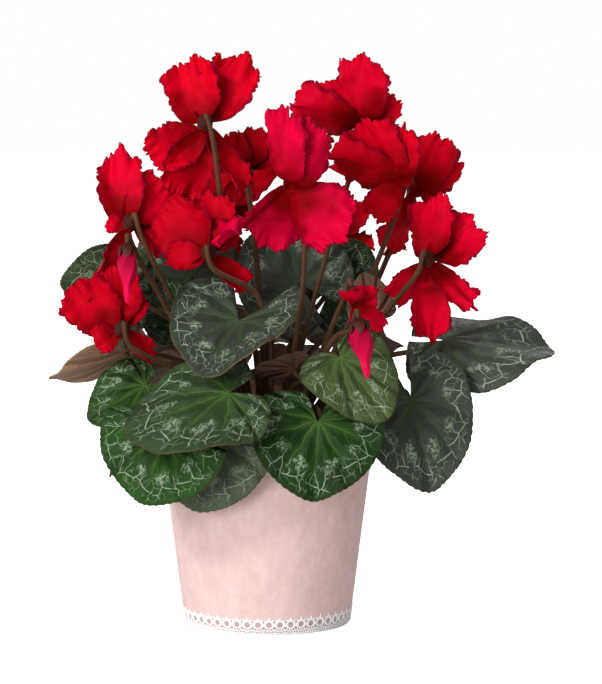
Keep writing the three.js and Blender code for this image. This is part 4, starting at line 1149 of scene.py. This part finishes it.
def calyx(mouth, axis, radius):
    """A cup round the tube's foot whose rim rises into five pointed sepals: the size of the cosine of two
    and a half times the angle has five peaks. Returns it with a number for each vertex, which grows towards
    the tips."""
    first, second = tube_frame(axis)
    turn = np.linspace(0, 2 * np.pi, 60, endpoint=False)
    point = np.abs(np.cos(2.5 * turn)) ** 0.8
    s = np.linspace(0, 1, 14)[:, None]
    base = -TUBE_LENGTH - CALYX_LENGTH
    height = base + s * (CALYX_LENGTH - 1.0 + 5.2 * point)
    bell = 1.2 + (radius * 1.08 - 1.2) * smoothstep((height - base) / 3.4) + 0.25 * s**2
    outer = np.stack([bell, height], -1)
    inner = np.stack([np.maximum(bell - 0.5, 0.3), height], -1)[::-1][::3]
    bottom = np.stack([0 * bell[:1], height[:1]], -1)
    rows = np.concatenate([bottom, outer, inner, bottom + [0, 0.6]])
    ring = np.cos(turn)[:, None] * first - np.sin(turn)[:, None] * second
    points = np.array(mouth, float) + rows[..., :1] * ring[None] + rows[..., 1:] * axis
    part = shell(points, wrap_columns=True, poles=(True, True))
    pink = s**2 * point
    return part, np.concatenate([0 * pink[:1], pink, pink[::-1][::3], 0 * pink[:1]]).ravel()


# %% Corm, and the stalks and calyces together
# The corm is a flattened ball with a shallow dimple in its top, and a little uneven
angle = np.linspace(-np.pi / 2, np.pi / 2, 33)
dimple = 2.5 * np.exp(-(((np.pi / 2 - angle) * 8 / np.pi / 1.5) ** 2))
level = CORM_HALF_HEIGHT * np.sin(angle) - dimple + CORM_CENTRE_Z
profile = np.stack([CORM_RADIUS * np.cos(angle), level], 1)
profile[[0, -1], 0] = 0
corm_part = turned(profile, 64)
bumps = corm_part[0]
swell = 1 + 0.02 * np.sin(0.5 * bumps[:, 0] + 2) * np.cos(0.6 * bumps[:, 1])
swell += 0.01 * np.sin(1.3 * bumps[:, 1])
bumps[:, :2] *= swell[:, None]

leaf_stalks = joined([leaf_stalk(name) for name in LEAVES])
heads = []
for mouth, facing, root, via, _ in BLOOMS.values():
    heads.append((mouth, bloom_axes(*facing)[0], root, via, 0.9 * TUBE_RADIUS))
for mouth, tip, radius, root, via in BUDS.values():
    heads.append((mouth, unit(np.subtract(tip, mouth)), root, via, 0.8 * radius))
flower_stalks = [bloom_stalk(mouth, axis, root, via) for mouth, axis, root, via, _ in heads]
cups, tips = zip(*(calyx(mouth, axis, radius) for mouth, axis, _, _, radius in heads))
print("leaf stalks:", len(LEAVES), "flower stalks:", len(flower_stalks))

# %% [markdown]
# Stalks are brown with an olive cast near the soil and redder above. The corm is a dull brown, and a sepal
# is dark at its foot and paler at its tip.

# %% Stalk, corm and sepal finishes
STALK_FOOT, STALK_TOP = (0.060, 0.034, 0.015), (0.090, 0.036, 0.016)
stalk_brown, tree, shader, place = new_finish("stalk_brown", 0.5, Specular_IOR_Level=0.15)
colour = mixed(tree, ramp(tree, split(tree, place)[2], 0.11, 0.26), STALK_FOOT, STALK_TOP)
relief(tree, shader, mottled(tree, shader, place, colour, 90.0, 1100.0, 0.6), 0.0006)

CORM_BROWN = (0.10, 0.055, 0.03, 1)
corm_brown, tree, shader, place = new_finish("corm_brown", 0.85)
relief(tree, shader, mottled(tree, shader, place, CORM_BROWN, 150.0, 900.0, 0.8), 0.002)

SEPAL_FOOT, SEPAL_TIP = (0.045, 0.009, 0.007), (0.12, 0.035, 0.025)
sepal_brown, tree, shader, place = new_finish("sepal_brown", 0.6, Specular_IOR_Level=0.08)
colour = mixed(tree, calc(tree, "MULTIPLY", carried(tree, "pink"), 0.9), SEPAL_FOOT, SEPAL_TIP)
relief(tree, shader, mottled(tree, shader, place, colour, 160.0, 900.0, 0.4), 0.0004)

# %% Stalk, corm and calyx pieces
stalks = new_piece("stalks", joined([leaf_stalks, *flower_stalks]), ["corm_and_stalks"])
stalks.data.materials.append(stalk_brown)
corm_piece = new_piece("corm", corm_part, ["corm_and_stalks"])
corm_piece.data.materials.append(corm_brown)
calyces = new_piece("calyces", joined(cups), ["corm_and_stalks"], {"pink": np.concatenate(tips)})
calyces.data.materials.append(sepal_brown)

# %% [markdown]
# ## Floor, light and camera
#
# The plant stands on a white floor in soft studio light: a key from the upper left, a broad low fill beside
# the camera, a weak lamp behind for the far side, and a pale world that keeps the shadows open. The floor
# and the world look white to the camera alone, so that they don't flatten the light on the plant.

# %% Floor and world
FLOOR_REACH = 6.0  # metres from the pot to each edge, so that no edge is seen
AMBIENT = 0.35  # how bright the white surroundings are as a light; to the camera they are plain white
corners = [(-FLOOR_REACH, -FLOOR_REACH, 0), (FLOOR_REACH, -FLOOR_REACH, 0)]
corners += [(FLOOR_REACH, FLOOR_REACH, 0), (-FLOOR_REACH, FLOOR_REACH, 0)]
floor_mesh = bpy.data.meshes.new("floor")
floor_mesh.from_pydata(corners, [], [(0, 1, 2, 3)])
floor = bpy.data.objects.new("floor", floor_mesh)
scene = bpy.context.scene
scene.collection.objects.link(floor)
floor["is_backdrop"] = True
white, tree, shader, place = new_finish("floor_white", 0.9, Specular_IOR_Level=0.1)
pale = mixed(tree, noise(tree, place, 3.0).outputs[0], (0.84, 0.84, 0.84), (0.87, 0.87, 0.87))
seen = ramp(tree, add(tree, "ShaderNodeLightPath").outputs["Is Camera Ray"], 0.0, 1.0)
feed(tree, shader, {"Base Color": pale, "Emission Color": pale, "Emission Strength": seen})
floor_mesh.materials.append(white)

world = bpy.data.worlds.new("studio")
world.use_nodes = True
background = world.node_tree.nodes["Background"]
rays = add(world.node_tree, "ShaderNodeLightPath").outputs["Is Camera Ray"]
strength = ramp(world.node_tree, rays, 0.0, 1.0, AMBIENT, 1.0)
feed(world.node_tree, background, {"Color": (1, 1, 1, 1), "Strength": strength})
scene.world = world
scene.view_settings.view_transform = "Standard"

# %% Lamps
PLANT_MIDDLE = (0, 0, 0.2)


def towards(at, aim):
    """The turn that points a lamp or a camera, which look along their own -Z, from one place to another."""
    return (Vector(aim) - Vector(at)).to_track_quat("-Z", "Y").to_euler()


def area_light(name, at, size, power):
    """A square lamp turned towards the middle of the plant."""
    lamp = bpy.data.lights.new(name, "AREA")
    lamp.size, lamp.energy = size, power
    piece = bpy.data.objects.new(name, lamp)
    piece.location = at
    piece.rotation_euler = towards(at, PLANT_MIDDLE)
    scene.collection.objects.link(piece)


area_light("key", (-1.22, -1.22, 1.4), 0.3, 24.0)
area_light("fill", (-1.05, -1.95, 0.6), 1.0, 25.0)
area_light("rear", (0.8, 1.6, 1.3), 1.2, 16.0)

# %% Camera
CAMERA_AT, CAMERA_AIM = (0.0204, -1.989, 0.3783), (0.0204, 0, 0.1692)
CAMERA_LENS, SENSOR_WIDTH = 175.4, 36.0  # millimetres

camera_data = bpy.data.cameras.new("camera")
camera_data.lens = CAMERA_LENS
camera_data.sensor_width = SENSOR_WIDTH
camera = bpy.data.objects.new("camera", camera_data)
camera.location = CAMERA_AT
camera.rotation_euler = towards(CAMERA_AT, CAMERA_AIM)
scene.collection.objects.link(camera)
scene.camera = camera
print("camera:", round((Vector(CAMERA_AIM) - Vector(CAMERA_AT)).length, 3), "m from what it looks at")

# %% [markdown]
# ## Sizes
#
# A finer surface must not outgrow the solids, or the dressed part would no longer fit where the plain one
# does. So the two boxes are measured and written down side by side.

# %% Sizes, and the end
new_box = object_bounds()
for title, box in (("solids", cad_box), ("dressed part", new_box)):
    print(f"box of the {title} in mm:", [[round(1000 * c, 1) for c in v] for v in box])
